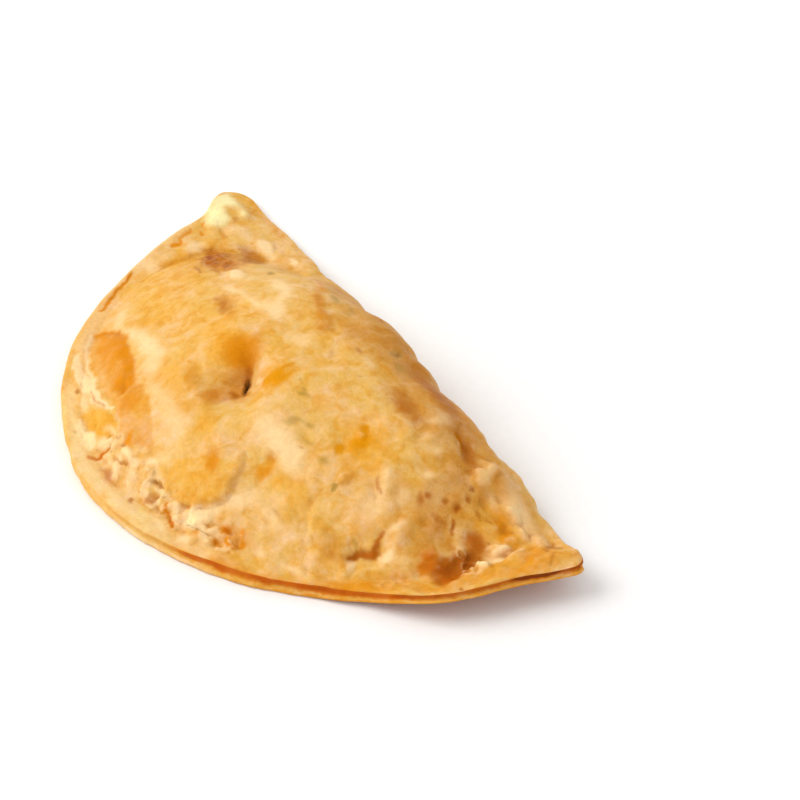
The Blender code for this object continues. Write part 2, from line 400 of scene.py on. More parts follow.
def rim_side(row, seam_share, upper_wave, lower_wave):
    """Side of the pressed rim, two layers with a seam: how far in, and its share of the thickness."""
    place = np.clip((row - BAND_ROWS) / WALL_ROWS, 0.0, 1.0) * (len(RIM_SIDE) - 1)
    steps = range(len(RIM_SIDE))
    open_in = np.interp(place, steps, [step[0] for step in RIM_SIDE])
    closed_in = np.interp(place, steps, [step[0] for step in CLOSED_SIDE])
    side_up = np.interp(place, steps, [step[1] for step in RIM_SIDE])
    side_in = closed_in + (open_in - closed_in) * seam_share
    upper = ramp(side_up, LAYERS_MEET, LAYER_BLEND)
    lower = (1.0 - upper) * ramp(side_up, 0.0, LAYER_BLEND)
    return side_in + RIM_WAVE * (upper_wave * upper + lower_wave * lower), side_up


def fold_side(x, y, inward_x, inward_y, row):
    """The folded side, a round belly that follows a few control points: how far in, and its height."""
    depths = np.array([step[0] for step in FOLD_SIDE]) * EDGE_BAND
    controls_in = np.repeat(depths[:, None], len(x), axis=1)
    controls_z = np.empty_like(controls_in)
    for index, (share_in, belly_up) in enumerate(FOLD_SIDE):
        place_x = x + inward_x * share_in * EDGE_BAND
        place_y = y + inward_y * share_in * EDGE_BAND
        if belly_up is None:
            controls_z[index] = top_height(place_x, place_y)
        else:
            controls_z[index] = lift(place_x) + fold_belly(x) * belly_up
    stop = np.interp(row, (0, BAND_ROWS, BAND_ROWS + WALL_ROWS, EDGE_ROWS), FOLD_STOPS)
    return follow(controls_in, stop), np.maximum(follow(controls_z, stop), lift(x))


def edge_points(edge, position, row):
    """Points of the edge band, row by row, from the top inner row round to the underside."""
    kept = (edge.x, edge.y, edge.fold_share, edge.seam_share, edge.upper_wave, edge.lower_wave)
    x, y, fold_share, seam_share, upper_wave, lower_wave = (edge.read(values, position) for values in kept)
    length = np.hypot(VENT[0] - x, VENT[1] - y)
    inward_x = (VENT[0] - x) / length
    inward_y = (VENT[1] - y) / length

    # Pressed rim: the flat top and a round lip over the side.
    side_in, side_up = rim_side(row, seam_share, upper_wave, lower_wave)
    lip_in = RIM_SIDE[0][0] + RIM_WAVE * upper_wave
    band_in = EDGE_BAND + (lip_in - EDGE_BAND) * np.clip(row / BAND_ROWS, 0.0, 1.0)
    under_in = np.interp(row, (BAND_ROWS + WALL_ROWS, EDGE_ROWS), (RIM_SIDE[-1][0], EDGE_BAND))
    rim_in = by_part(row, band_in, side_in, under_in)
    rim_x = x + inward_x * rim_in
    rim_y = y + inward_y * rim_in
    into_lip = np.clip(LIP + RIM_WAVE * upper_wave - rim_in, 0.0, LIP)
    lip_drop = LIP - np.sqrt(LIP ** 2 - LIP_ROUNDNESS * into_lip ** 2)
    side_top = top_height(rim_x, rim_y) - lift(rim_x)
    wall_z = np.minimum(side_top, thickness(rim_x)) * side_up
    rim_z = lift(rim_x) + by_part(row, side_top - lip_drop, wall_z, 0.0)

    fold_in, fold_z = fold_side(x, y, inward_x, inward_y, row)
    distance = rim_in + (fold_in - rim_in) * fold_share
    height = rim_z + (fold_z - rim_z) * fold_share
    share_up = by_part(row, ON_TOP, side_up, UNDERNEATH)
    return x + inward_x * distance, y + inward_y * distance, height, fold_share, share_up


def skin_points(across, along, level):
    """Every vertex of the block in its place on the plain crust, with its row and fold share."""
    ring = np.maximum(np.abs(across), np.abs(along))
    safe = np.maximum(ring, TINY)
    on_top = level > 0.0
    inner = ring < 1.0 - TINY
    row = np.where(inner, np.where(on_top, 0, EDGE_ROWS), np.round((1.0 - level) / 2.0 * EDGE_ROWS))
    direction_across = np.where(ring > 0.0, across / safe, 0.0)
    direction_along = np.where(ring > 0.0, along / safe, 1.0)
    position = border_position(direction_across, direction_along)
    x, y, z, fold_share, share_up = edge_points(Outline(), position, row)
    closing = np.where(inner, ring ** RING_POWER, 1.0)
    x = VENT[0] + (x - VENT[0]) * closing
    y = VENT[1] + (y - VENT[1]) * closing
    z = np.where(inner, np.where(on_top, top_height(x, y), lift(x)), z)
    return x, y, z, row, fold_share, share_up


# ---------------------------------------------------------------- relief of the skin
# Hills and hollows: x, y, reach along, reach across, turn in degrees, height, edge (1 is round).
HILLS = [
    # tail corner
    (-75, -4, 5.5, 4, 0, 1.1, 1), (-72, -1, 2.4, 1.8, 0, 0.7, 1), (-73.5, -8, 3.2, 2.2, -60, 0.8, 0.8),
    (-66.5, -6, 2.4, 2, 0, 0.5, 1), (-56, -3.2, 4.6, 2.3, -8, 0.8, 0.7), (-56, -3.2, 2, 0.9, -8, -0.4, 1),
    (-49, -2.6, 2.6, 1.2, 0, 0.4, 1), (-55, -14.5, 8, 6, -30, 1.9, 1), (-43, -22, 8, 5, -35, -0.7, 1),
    (-37, -21.5, 3.2, 1.5, -15, 0.5, 0.8), (-51, -18, 2, 1, -25, 0.5, 0.8), (-24, -31, 5, 3, 0, -0.35, 1),
    # left rim
    (-67, -19, 2, 3, 15, 0.5, 0.8), (-70.5, -11, 1.8, 1.6, 0, 0.4, 0.8),
    # between the vent and the rim
    (-2, -47, 5.5, 4, -20, -0.9, 1), (18.5, -57.5, 8, 6, 20, 0.9, 1),
    (-17.5, -60.4, 1.8, 1.1, -20, -0.8, 0.9), (17.5, -54.6, 1.6, 1.6, 0, -0.3, 1),
    (27, -48, 2, 3, 10, -0.35, 1),
    # crumbly band, tail side
    (-44, -58, 1.2, 4.5, 58, 0.35, 0.8), (-33, -64, 5, 1.3, -16, 0.4, 0.8),
    (-30.5, -66, 2.8, 1.4, -15, 0.5, 0.6), (-24.5, -63.8, 3.2, 1.1, -8, 0.5, 0.6),
    (-19, -64.2, 2.2, 0.9, 5, 0.4, 0.6), (-25.5, -67.3, 2.4, 1.1, -15, 0.5, 0.6),
    (-19, -70.6, 3, 1.3, -12, 0.5, 0.7), (-12, -70, 2.6, 1.3, -5, 0.4, 0.7),
    (-15.5, -67, 4, 1.7, -8, 0.5, 0.8), (-9, -66.6, 2.4, 1.3, 8, 0.5, 0.6),
    (-17.5, -72.3, 1, 0.4, -10, -0.4, 0.8),
    # crumbly band, front
    (0.6, -67.3, 2.5, 1.8, 0, 0.9, 0.5), (3.8, -66.2, 2, 1.4, 20, 0.7, 0.5),
    (-2.6, -68.3, 1.4, 1.1, 0, 0.6, 0.5), (-6.8, -69, 1.7, 0.9, 30, 0.5, 0.6),
    (1.5, -70.7, 2, 0.8, -8, 0.5, 0.6), (8.8, -66.9, 1.9, 1.1, 10, 0.5, 0.5),
    (12.3, -67.4, 1.4, 1, 0, 0.6, 0.5), (16.8, -66.9, 1.6, 1, 20, 0.4, 0.5),
    (7, -69.8, 3.2, 1.6, -5, 0.35, 0.8), (16, -69.9, 2.8, 1.3, 10, 0.4, 0.8),
    (23.5, -64.4, 2.2, 1.8, 50, 1.1, 0.5), (27.2, -65.3, 2.2, 1.5, 10, 0.9, 0.5),
    (20.9, -65.8, 1.4, 0.8, 10, 0.5, 0.6), (25.8, -61.9, 1.4, 1.6, 20, 0.6, 0.6),
    (29, -62.6, 1.5, 1.3, 0, 0.6, 0.6), (34, -59.9, 1.8, 0.9, -20, 0.6, 0.5),
    (33, -64, 2.2, 1.2, 20, 0.3, 0.8), (1, -69.5, 1.5, 0.35, 10, -0.5, 0.8),
    (12.6, -66.1, 1.8, 0.4, 25, -0.6, 0.8),
    # right of the vent
    (46.5, -28, 5.5, 1.7, -38, 0.7, 0.9), (44.5, -30.5, 3.5, 1.2, -20, -0.5, 1),
    (33.5, -29, 5, 4, 0, -0.6, 1), (33, -27.5, 0.9, 0.8, 0, 0.5, 0.8), (24, -41, 8, 4, 10, 0.45, 1),
    (41, -33, 1.6, 2.6, 15, -0.4, 1), (47.5, -35.5, 4, 3.5, 0, 0.5, 1), (45, -45, 5, 2.2, 35, 0.5, 1),
    (48, -50.5, 4.5, 1.8, 30, 0.4, 0.9), (51.5, -46.5, 3, 2, 40, -0.3, 1),
    (56.8, -31.5, 2.3, 3.4, -35, 0.9, 0.7), (54.3, -28.5, 1.7, 3.2, 5, 0.6, 0.7),
    (60.3, -33, 1.6, 3.4, -35, 0.7, 0.7), (53.6, -42.6, 2.2, 1, -35, 0.5, 0.7),
    (57.5, -38.5, 1.6, 3, -35, 0.35, 0.9),
    # hollows and bubbles at the nose
    (63, -27.5, 3, 2.4, 20, 0.7, 0.6), (66.8, -22.5, 2.2, 4.4, 20, -0.9, 0.8),
    (64.6, -16.5, 3.4, 2.4, -20, -0.8, 0.8), (69, -28, 1.6, 1.4, 0, -0.4, 0.8),
    (51.5, -7.6, 3.2, 1.9, -55, 1.5, 0.7), (49.6, -4.6, 1.8, 1.5, 0, 0.8, 0.8),
    (57, -4.2, 4.2, 1.8, -5, 0.7, 0.8), (60.4, -5.4, 1.7, 1.2, 0, 0.9, 0.6),
    (65.2, -6, 1.9, 1.1, 0, 0.9, 0.6), (68.4, -3.6, 1.8, 1.4, 0, 0.7, 0.7),
    (69.5, -9, 1.6, 2.8, 20, 0.8, 0.7), (66.9, -12.6, 1.4, 2.4, -15, 1.2, 0.6),
    (72, -5.5, 1.4, 2.8, 10, 0.7, 0.7), (75, -4, 2.4, 2.4, 0, 0.4, 1), (56, -10, 5, 2, 5, -0.6, 1),
    (62.5, -9, 2.6, 1.2, 10, -0.7, 0.8), (71, -2, 0.9, 1.6, 30, -0.6, 0.8),
    # lumps along the nose rim
    (66.2, -9.6, 1.8, 2.6, 10, 0.9, 0.8), (71.2, -10.4, 1.6, 2.4, 10, 0.7, 0.8),
    (75.4, -6.8, 2, 2.2, 0, 0.8, 0.8), (72.2, -15.6, 1.5, 2.2, 0, 0.6, 0.8),
    (70.8, -18.6, 1.3, 1.2, 0, 0.8, 0.7), (74, -11.4, 1, 3, -10, -0.4, 0.9),
    # folded side
    (77.5, -0.5, 4, 3, 0, 0.5, 1), (-6, -4, 4, 5, 0, -0.3, 1), (2, -7, 12, 5, 4, 0.6, 1),
    (-14, -6, 5, 6, 0, -0.6, 1), (20, -4, 5, 7, 0, -0.7, 1), (34, -8, 9, 5, 0, 0.5, 1),
    (13.5, -7, 2, 1, -30, -0.4, 0.9), (44.5, -8, 3, 0.9, -25, -0.5, 0.9),
]

# Cracks and ridges: points, half width, height.
LINES = [
    ([(-74.5, -10.5), (-72, -12.6), (-69.5, -14)], 0.7, -0.2),
    ([(-72.6, -16.5), (-70.6, -20), (-69, -23), (-66, -22.2)], 0.8, -0.2),
    ([(-64, -35), (-60.6, -39.5), (-58.6, -43.5), (-55.5, -48.5)], 0.9, -0.25),
    ([(-68, -9), (-62.5, -13.5), (-61, -22), (-61, -30), (-58, -36)], 1.2, -0.35),
    ([(-44.5, -52.2), (-39, -51.2), (-33, -52.8), (-28, -54.7), (-22, -56.6), (-17, -60.2)], 1.6, -0.4),
    ([(55.2, -33.4), (55.6, -36.2), (54, -38.6), (52.3, -40.6)], 1.3, -0.9),
    ([(52.6, -33.9), (55, -34.8)], 1, -0.5),
    ([(49.8, -39.2), (53, -39.6)], 0.6, -0.4),
    ([(38.5, -6), (42, -8), (46.5, -7)], 0.8, -0.4),
    ([(47.8, -4), (49.3, -7), (50.3, -10.5)], 0.9, -0.6),
    ([(40, -44.5), (44, -47), (50, -50)], 0.7, -0.25),
    ([(28, -52), (33, -49.5), (38, -49)], 0.6, -0.25),
    ([(31, -54), (36, -52), (41, -52)], 0.6, -0.22),
]

# Closed outlines of the blisters, each with its height, how far in from its edge it rises, the
# turn of its steep side in degrees and how far across the blister the steepness takes to come.
BLISTERS = {
    "left": ([
        (-46, -53), (-43, -51.2), (-38, -50.4), (-34, -51), (-30, -53), (-24, -54.8), (-19, -57.2),
        (-15.6, -60.2), (-16.6, -62.6), (-22, -63), (-28, -62), (-36, -60.2), (-42.5, -57.6),
    ], 1, 2.6, 70, 8),
    "lower": ([
        (-17, -59), (-11, -57.4), (-6, -58.4), (1, -61), (5.5, -64.6), (1, -66.4), (-5, -66.4),
        (-11, -64.6), (-16.6, -62.4),
    ], 0.9, 1.6, -110, 8),
    "front": ([
        (21.3, -49.2), (24.6, -52.6), (26.8, -56.2), (25.6, -59.4), (23, -62.2), (19.6, -64), (14.6, -65),
        (9, -65.4), (4, -65), (2, -61), (7, -54), (14, -51), (19.6, -50.6),
    ], 1.4, 2.2, -35, 20),
}
BLISTER_LIP = 0.1

# Rings left by burst bubbles: x, y, radius, half width, height.
RINGS = [
    (64, -20, 1.1, 0.4, 0.5), (67.6, -20.4, 1.6, 0.5, 0.7), (69, -22, 1.3, 0.4, 0.5),
    (69.4, -17.9, 1.1, 0.6, 0.8), (62, -37.3, 1.5, 0.4, 0.3),
]

# The steam vent: a slit at the foot of a fold that is steep on one side.
SLIT = (2.8, -41.0)
SLIT_TURN = -50.0
SLIT_HALF_LENGTH = 1.9
SLIT_HALF_WIDTH = 0.42
SLIT_DEPTH = 4.2
SLIT_EDGE = 0.35
VALLEY = (4.5, -40.7)
VALLEY_TURN = -37.0
VALLEY_DEPTH = 6.6
VALLEY_REACH_ALONG = 7.5
VALLEY_REACH_GENTLE = 7.0
VALLEY_REACH_STEEP = 4.0

# The crumbly band runs along this line, made of lumps with cracks between them.
CRUMB_BAND = [(-7.0, -69.0), (0.0, -69.0), (11.0, -67.8), (20.0, -66.0), (27.0, -63.5), (34.0, -60.0)]
CRUMB_BAND_REACH = 4.2
CRUMB_BAND_EDGE = 2.8
CRUMB_SIZE = 3.0
CRUMB_CRACK = 0.09
CRUMB_RISE = 0.6
CRUMB_CRACK_DEPTH = 0.2

# Waves of the skin: (height, size, octaves, seed). The lively ones grow towards the nose, and the
# rough ones are on the crumbly band and on the granular patch behind the tail.
SKIN_WAVES = [(0.5, 14.0, 1, 1.0), (0.3, 6.0, 2, 5.0)]
LIVELY_WAVES = [(0.45, 4.2, 2, 9.0)]
LIVELY_FROM = 12.0
LIVELY_OVER = 25.0
ROUGH_WAVES = [(0.25, 2.6, 2, 17.0), (0.12, 1.3, 2, 19.0)]
ROUGH_PATCH = (-52.0, -16.0, 10.0, 6.0, -28.0, 0.6)

# How far each tone's mask lifts the skin, in millimetres.
TONE_RISE = {"cream": 0.14, "butter": 0.3, "umber": -0.35, "toast": -0.12}
HOLLOW_ROUNDS = 10
# All relief and tones are bent by waves, so that no spot keeps a plain outline.
WARP = 0.8
WARP_SIZE = 3.5
WARP_OCTAVES = 3


def vent_relief(x, y):
    """The slit and the fold it lies in, which is steep on the side above 0."""
    along, across = turned(x, y, VALLEY, VALLEY_TURN)
    reach = np.where(across < 0.0, VALLEY_REACH_GENTLE, VALLEY_REACH_STEEP)
    valley = np.exp(-(along / VALLEY_REACH_ALONG) ** 2 - (across / reach) ** 2)
    slit = ellipse_distance(x, y, *SLIT, SLIT_HALF_LENGTH, SLIT_HALF_WIDTH, SLIT_TURN)
    return -VALLEY_DEPTH * valley - SLIT_DEPTH * ramp(slit, 1.0 + SLIT_EDGE, -2.0 * SLIT_EDGE)


def crumb_share(x, y):
    """How much of the crumbly band there is: 1 along its middle, 0 outside it."""
    return smooth((CRUMB_BAND_REACH - line_distance(x, y, CRUMB_BAND)) / CRUMB_BAND_EDGE)


def blister(x, y, points, foot, turn, blend):
    """A puff with one steep side: 1 over the puff next to it, fading out the other way."""
    middle = [sum(values) / len(points) for values in zip(*points)]
    out, _ = turned(x, y, middle, turn)
    puff = np.sqrt(smooth(depth_inside(x, y, points) / foot + BLISTER_LIP))
    return puff * smooth(out / blend + 0.5)


def waves(places, rows):
    """Sum of waves of the skin, each with a height, a size, octaves and a seed."""
    return sum(height * grain(places, size, octaves, seed) for height, size, octaves, seed in rows)


def relief(x, y, places, masks):
    """Height of the skin's relief over the plain crust."""
    height = waves(places, SKIN_WAVES) + ramp(x, LIVELY_FROM, LIVELY_OVER) * waves(places, LIVELY_WAVES)
    for *ellipse, rise, edge in HILLS:
        height += rise * spot(x, y, *ellipse, edge)
    for points, width, rise in LINES:
        height += rise * bell(line_distance(x, y, points), width)
    for points, rise, foot, turn, blend in BLISTERS.values():
        height += rise * blister(x, y, points, foot, turn, blend)
    for middle_x, middle_y, radius, width, rise in RINGS:
        gap = np.hypot(x - middle_x, y - middle_y) - radius
        height += rise * bell(gap, width)
    for tone, rise in TONE_RISE.items():
        height += rise * masks[tone]
    lump, crack = crumbs(places)
    share = crumb_share(x, y)
    height += share * (CRUMB_RISE * (lump - 0.5) - CRUMB_CRACK_DEPTH * crack)
    rough = np.maximum(share, spot(x, y, *ROUGH_PATCH))
    return height + rough * waves(places, ROUGH_WAVES)


def hollows(mesh, height):
    """How far each vertex lies below the skin round it."""
    first, second = read_ends(mesh).T
    count = len(height)
    links = np.bincount(first, minlength=count) + np.bincount(second, minlength=count)
    level = height
    for _ in range(HOLLOW_ROUNDS):
        around = np.bincount(first, level[second], count) + np.bincount(second, level[first], count)
        level = 0.5 * level + 0.5 * around / links
    return level - height


# ---------------------------------------------------------------- tones of the skin
# Spots of a tone: x, y, reach along, reach across, turn in degrees, strength, edge (1 is soft).
SPOTS = {
    # Some of these are painted highlights on lumps: (-71.5, -2) at the tail, (24, -63.6) in front, and (51.8,
    # -6.9), (70, -18.5) and (60.5, -4.4) by the nose.
    "butter": [
        (-73.4, -8, 3, 2.2, 5, 0.85, 1), (-71.5, -2, 1.4, 1.1, 0, 0.6, 0.9),
        (-77.5, -2.2, 3.6, 2.2, 0, 0.75, 1), (24, -63.6, 1.2, 1.6, -20, 0.6, 0.9),
        (0.8, -67, 1.2, 0.6, 0, 0.4, 0.9), (-14, -71.2, 3, 0.9, -10, 0.4, 0.9),
        (-30, -64, 5, 0.8, -8, 0.3, 0.9), (51.8, -6.9, 2.4, 1, -50, 0.25, 0.9),
        (70, -18.5, 1.2, 0.7, 35, 0.9, 0.9), (60.5, -4.4, 1.6, 1, 0, 0.4, 0.9),
    ],
    # Tan is partly browning and partly painted shade, along the folded side and in the vent's valley at (-5,
    # -49).
    "tan": [
        (5, -13, 5, 2.6, 10, 0.5, 1), (22, -4.5, 34, 8.5, 0, 0.8, 1), (-44, -5, 10, 3.5, -10, 0.4, 1),
        (-53, -23.5, 9, 3, -8, 0.8, 0.9), (54, -17, 9, 9, 0, 0.5, 1), (48, -42.5, 5, 2.6, 30, 0.5, 1),
        (-5, -49, 5, 3, -10, 0.6, 1), (40, -34.5, 0.9, 2, 5, 0.7, 0.9), (-20, -4, 12, 4, 0, 0.6, 1),
        (30, -11, 36, 6, 0, 0.4, 1), (58, -27, 8, 6, 0, 0.5, 1), (62, -3, 8, 3, 0, 0.4, 1),
    ],
    "golden": [
        (0, -20, 16, 7, 0, 0.3, 1), (36.5, -44, 4.6, 3, -20, 0.6, 0.9),
        (31, -46.5, 2.5, 1.5, 20, 0.5, 0.9), (20, -13, 4, 2, 0, 0.4, 1), (-45, -36, 24, 14, -25, 0.45, 1),
        (-61, -27, 7, 11, 10, 0.35, 1), (-68, -2, 2.8, 2, 0, 0.35, 0.9),
        (-34.5, -42.5, 2.4, 2.8, 0, 0.6, 0.9), (38, -61, 16, 3.4, 27, 0.35, 1),
        (-6.6, -39, 6, 4.6, -10, 0.85, 1), (9, -34.6, 4.6, 5.6, 0, 0.7, 1),
        (36, -28, 6.5, 5.5, 0, 0.75, 0.9), (74, -11, 3.4, 9.5, -8, 0.9, 0.9),
        (60, -42, 8, 3.2, 45, 0.7, 1), (63, -9, 4.6, 2.2, -8, 0.6, 0.9), (-12, -51.5, 7, 2, 0, 0.5, 0.9),
        (10, -53, 5, 2, -10, 0.6, 0.9), (15, -59, 8, 5, 20, 0.2, 0.9), (70, -29, 4, 3, 30, 0.5, 0.9),
        (49, -45, 4, 1.4, 35, 0.5, 0.9), (56, -26.5, 3, 2, 0, 0.4, 0.9), (-15, -38, 9, 5, 0, 0.5, 1),
        (60, -12, 8, 5, 0, 0.5, 1), (-4, -54, 10, 4, 0, 0.4, 1), (-55, -19, 7, 6, -30, 0.5, 1),
        (-52, -12, 8, 4, 0, 0.5, 1), (-64, -14, 7, 5, 0, 0.35, 1), (-19, -31, 6, 6, 0, 0.5, 1),
        (-6, -45, 6, 5, 0, 0.5, 1), (-34, -54, 5, 7, 40, 0.4, 1), (-22, -50, 6, 5, 0, 0.3, 1),
        (50, -34, 6, 4, 0, 0.4, 1), (32, -61, 7, 3, 0, 0.3, 1), (60, -34, 4, 2.4, 20, 0.4, 0.9),
        (51.7, -6.8, 3.4, 2, -50, 0.5, 0.9), (68.5, -6.4, 2.4, 2, 0, 0.6, 0.9),
    ],
    "amber": [
        (27.6, -48.3, 1.2, 1.5, 10, 0.45, 0.9), (-24, -6, 5, 1, -25, 0.4, 0.9),
        (-73.6, -11.6, 1.2, 0.6, -40, 0.75, 0.9), (-70.8, -14, 1.7, 0.6, 10, 0.75, 0.9),
        (-44.4, -19.4, 3.2, 2.2, -30, 0.7, 0.9), (-52.6, -20, 1.8, 0.8, -20, 0.4, 0.9),
        (-69.6, -21.6, 0.9, 1.4, 0, 0.7, 0.9), (-63, -3.4, 2.6, 0.8, -20, 0.3, 0.9),
        (-19.6, -58.2, 3.4, 1.9, -35, 0.9, 0.8), (-42.6, -53.8, 1.6, 1.2, 0, 0.5, 0.9),
        (-12, -60.8, 3.4, 2, -20, 0.6, 0.9), (-2, -65.8, 1.7, 0.7, 0, 0.9, 0.8),
        (32.6, -59.6, 4.4, 2.6, 10, 0.5, 0.9), (30.3, -59.3, 1.2, 0.7, 0, 0.9, 0.8),
        (31, -62, 1.1, 0.6, 10, 0.8, 0.8), (35.5, -58, 0.8, 0.9, 0, 0.8, 0.8),
        (34, -57, 0.9, 0.6, 0, 0.7, 0.8), (27.5, -65, 0.9, 1.1, 60, 0.7, 0.9),
        (18, -55, 2.4, 1.4, -25, 0.75, 0.8), (12.8, -69.6, 1.4, 0.8, 20, 0.5, 0.9),
        (36.4, -56, 2.4, 1.2, 20, 0.4, 0.9), (27, -47, 1.6, 2.4, 10, 0.4, 0.8),
        (1, -73.8, 4, 0.8, 0, 0.45, 0.9), (-2.3, -37.8, 2.6, 3, -15, 0.95, 1),
        (-4.4, -38.4, 4.4, 3.6, -10, 0.5, 1), (63, -9.6, 4, 1.4, -10, 0.75, 0.9),
        (63.8, -16.4, 2, 1.6, 0, 0.4, 0.9), (76.4, -12, 1.4, 4, -10, 0.4, 0.9),
        (73.4, -8, 1.2, 2, 10, 0.4, 0.9), (55, -46.6, 5, 1.6, 42, 0.4, 1),
        (60.6, -41.6, 4, 1.8, 48, 0.35, 1), (2.8, -48.6, 2.8, 2.6, 0, 0.6, 0.9),
        (62, -38.6, 12, 4.4, 50, 0.35, 1), (75, -6, 5, 7, 0, 0.4, 1), (73, -20, 3, 7, -10, 0.4, 1),
        (-4.6, -36.4, 3, 4, 10, 0.5, 1), (-10, -39, 4, 2.4, 0, 0.3, 1), (-4, -33.6, 3, 3, 0, 0.45, 1),
        (3, -44.4, 4, 3.4, 0, 0.4, 1), (-48, -15, 8, 4.5, -40, 0.4, 1), (52, -5, 24, 3, -6, 0.3, 1),
        (28, -4, 8, 3, 0, 0.3, 1), (-2.4, -38.2, 3, 4, -30, 0.4, 1), (68, -24, 3.4, 4.6, 0, 0.5, 0.9),
        (-36, -55, 3, 5, 30, 0.3, 1), (48, -36, 4, 4, 0, 0.25, 1), (8, -34, 5, 6, 0, 0.2, 1),
        (-49, -20.6, 6, 2.6, -28, 0.45, 0.9),
    ],
    # The spots round the vent's slit, from (-3, -37) to (4.2, -44.8), and the long ones along the folded side
    # are painted shade. The rest are browned spots.
    "toast": [
        (25.6, -45.6, 1.2, 1.2, 0, 0.4, 0.9), (38.6, -42.6, 0.9, 3, 10, 0.4, 0.9),
        (0, -17, 5, 2.2, -35, 0.5, 1), (-9, -14.5, 5, 1.6, -25, 0.4, 1), (32, -15.5, 6, 2.6, 0, 0.5, 1),
        (26, -5, 10, 3, 0, 0.4, 1), (11.8, -15.6, 1.4, 0.6, 0, 0.6, 0.9),
        (9.4, -21.2, 1.8, 0.8, -30, 0.4, 0.9), (28.3, -39.3, 1, 0.5, 20, 0.5, 0.9),
        (-60.2, -17, 1.8, 1.2, -20, 0.9, 0.8), (-57.4, -16, 1.4, 0.7, -20, 0.6, 0.9),
        (-53.6, -17.4, 1.6, 0.7, -30, 0.6, 0.9), (-64, -16.4, 1, 0.8, 0, 0.4, 0.9),
        (-66.6, -9.4, 1.6, 0.6, -10, 0.4, 0.9), (-29.5, -66.5, 0.9, 0.6, -10, 0.7, 0.8),
        (-15.4, -72, 2.6, 0.4, -12, 0.5, 0.9), (0.2, -72.6, 2.8, 0.8, 0, 0.6, 0.8),
        (13.5, -68.5, 1.5, 0.9, 35, 0.75, 0.8), (10.5, -72, 0.9, 0.6, 0, 0.8, 0.8),
        (11, -66.5, 1, 0.5, 20, 0.5, 0.8), (30.3, -59.3, 0.8, 0.4, 0, 0.5, 0.8),
        (-19.2, -59, 2.2, 0.8, -38, 0.4, 0.9), (-2.6, -73.4, 0.9, 0.4, 20, 0.4, 0.9),
        (3.4, -72.9, 0.9, 0.4, 0, 0.4, 0.9), (20.8, -67.7, 1.2, 0.4, -10, 0.5, 0.9),
        (-1.2, -38.2, 2.2, 2.4, -20, 0.4, 1), (1, -43, 1.8, 2.8, -25, 0.3, 0.9),
        (0.8, -38.2, 1.2, 1, -40, 0.7, 0.9), (2.5, -49, 2.8, 2.2, 0, 0.35, 0.9),
        (-24, -31, 7, 2.8, -8, 0.5, 1), (-22, -32.4, 3, 1.3, -12, 0.45, 0.9),
        (36, -6.2, 12, 2.8, -6, 0.4, 0.9), (46, -8, 4.2, 1.3, -14, 0.75, 0.9), (27, -6, 9, 3, 0, 0.35, 1),
        (31, -15, 5.6, 2.4, 0, 0.5, 0.9), (55, -18, 5.5, 6, 0, 0.15, 0.9),
        (63.7, -16, 2.4, 2, -10, 0.85, 0.7), (65.8, -24.4, 2.2, 3.8, 0, 1, 0.6),
        (65.6, -19.4, 1.8, 2.4, 0, 0.9, 0.7), (62.8, -27.4, 1.8, 1.9, 0, 0.5, 0.8),
        (73.5, -25.5, 0.9, 0.6, 0, 0.8, 0.8), (40, -36, 0.7, 1, 0, 0.3, 0.9),
        (50, -43.6, 4, 1.3, 30, 0.45, 1), (60, -38.4, 1.8, 0.7, 30, 0.4, 0.9),
        (55, -13.5, 0.7, 0.6, 0, 0.8, 0.8), (56, -16.5, 1, 0.7, 0, 0.9, 0.8),
        (53.5, -18, 0.8, 0.7, 0, 0.8, 0.8), (58.5, -19, 1.1, 0.5, -40, 0.85, 0.8),
        (60, -19.8, 0.8, 0.4, -30, 0.7, 0.8), (52, -21, 0.7, 0.9, 0, 0.7, 0.8),
        (51.5, -23, 1.3, 0.8, -30, 0.7, 0.8), (56.4, -21.4, 1.4, 0.6, 30, 0.5, 0.8),
        (63, -21.4, 1.6, 1, 0, 0.4, 0.9), (58.4, -13, 1.4, 0.5, 10, 0.5, 0.8),
        (60.6, -11.4, 1.2, 0.5, 20, 0.6, 0.8), (-54, -18, 9, 4.2, -24, 0.55, 0.8),
        (-55.4, -8.6, 4.4, 2.6, -20, 0.5, 0.9), (-48.4, -11.6, 4.4, 2.2, -42, 0.45, 0.9),
        (-75.2, 1.6, 1.2, 0.9, -30, 0.3, 0.9), (-0.6, -43.4, 2.4, 3, -20, 0.2, 0.9),
        (3, -47.6, 3, 2.6, -20, 0.2, 1), (50, -16, 9, 8, 0, 0.12, 1), (58, -24, 5, 4, 0, 0.35, 1),
        (12, -3.6, 16, 3, 0, 0.3, 1), (77.4, -0.6, 2, 3, 0, 0.4, 0.9), (0.8, -40, 1.4, 1.4, -30, 0.3, 1),
        (4.2, -44.8, 1.2, 0.7, 0, 0.6, 0.9), (2.6, -44.6, 3, 4, 0, 0.15, 1),
        (-3, -37, 3.4, 3.4, 0, 0.3, 1), (67.2, -22.4, 2.4, 5.4, 0, 0.75, 0.7), (-20, -3, 8, 3, 0, 0.2, 1),
        (72.2, -1.8, 0.9, 1.5, 0, 0.7, 0.9), (-54, -16, 9, 4, -28, 0.25, 0.9),
    ],
    "rust": [
        (62.6, -27.4, 2.4, 2.6, 0, 0.5, 0.95), (-45.4, -19.6, 2.4, 1.6, -30, 0.2, 0.9),
        (-54.6, -19.4, 1.6, 1, 0, 0.5, 0.9), (30.3, -59.3, 1, 0.6, 0, 0.6, 0.9),
        (0.4, -72.6, 2.6, 0.8, 0, 0.4, 0.9), (20.8, -67.7, 1.4, 0.5, -10, 0.5, 0.9),
        (67.4, -25.4, 1.8, 3, 0, 0.5, 0.9), (62.4, -16.6, 1.8, 1.8, 0, 0.4, 0.9),
    ],
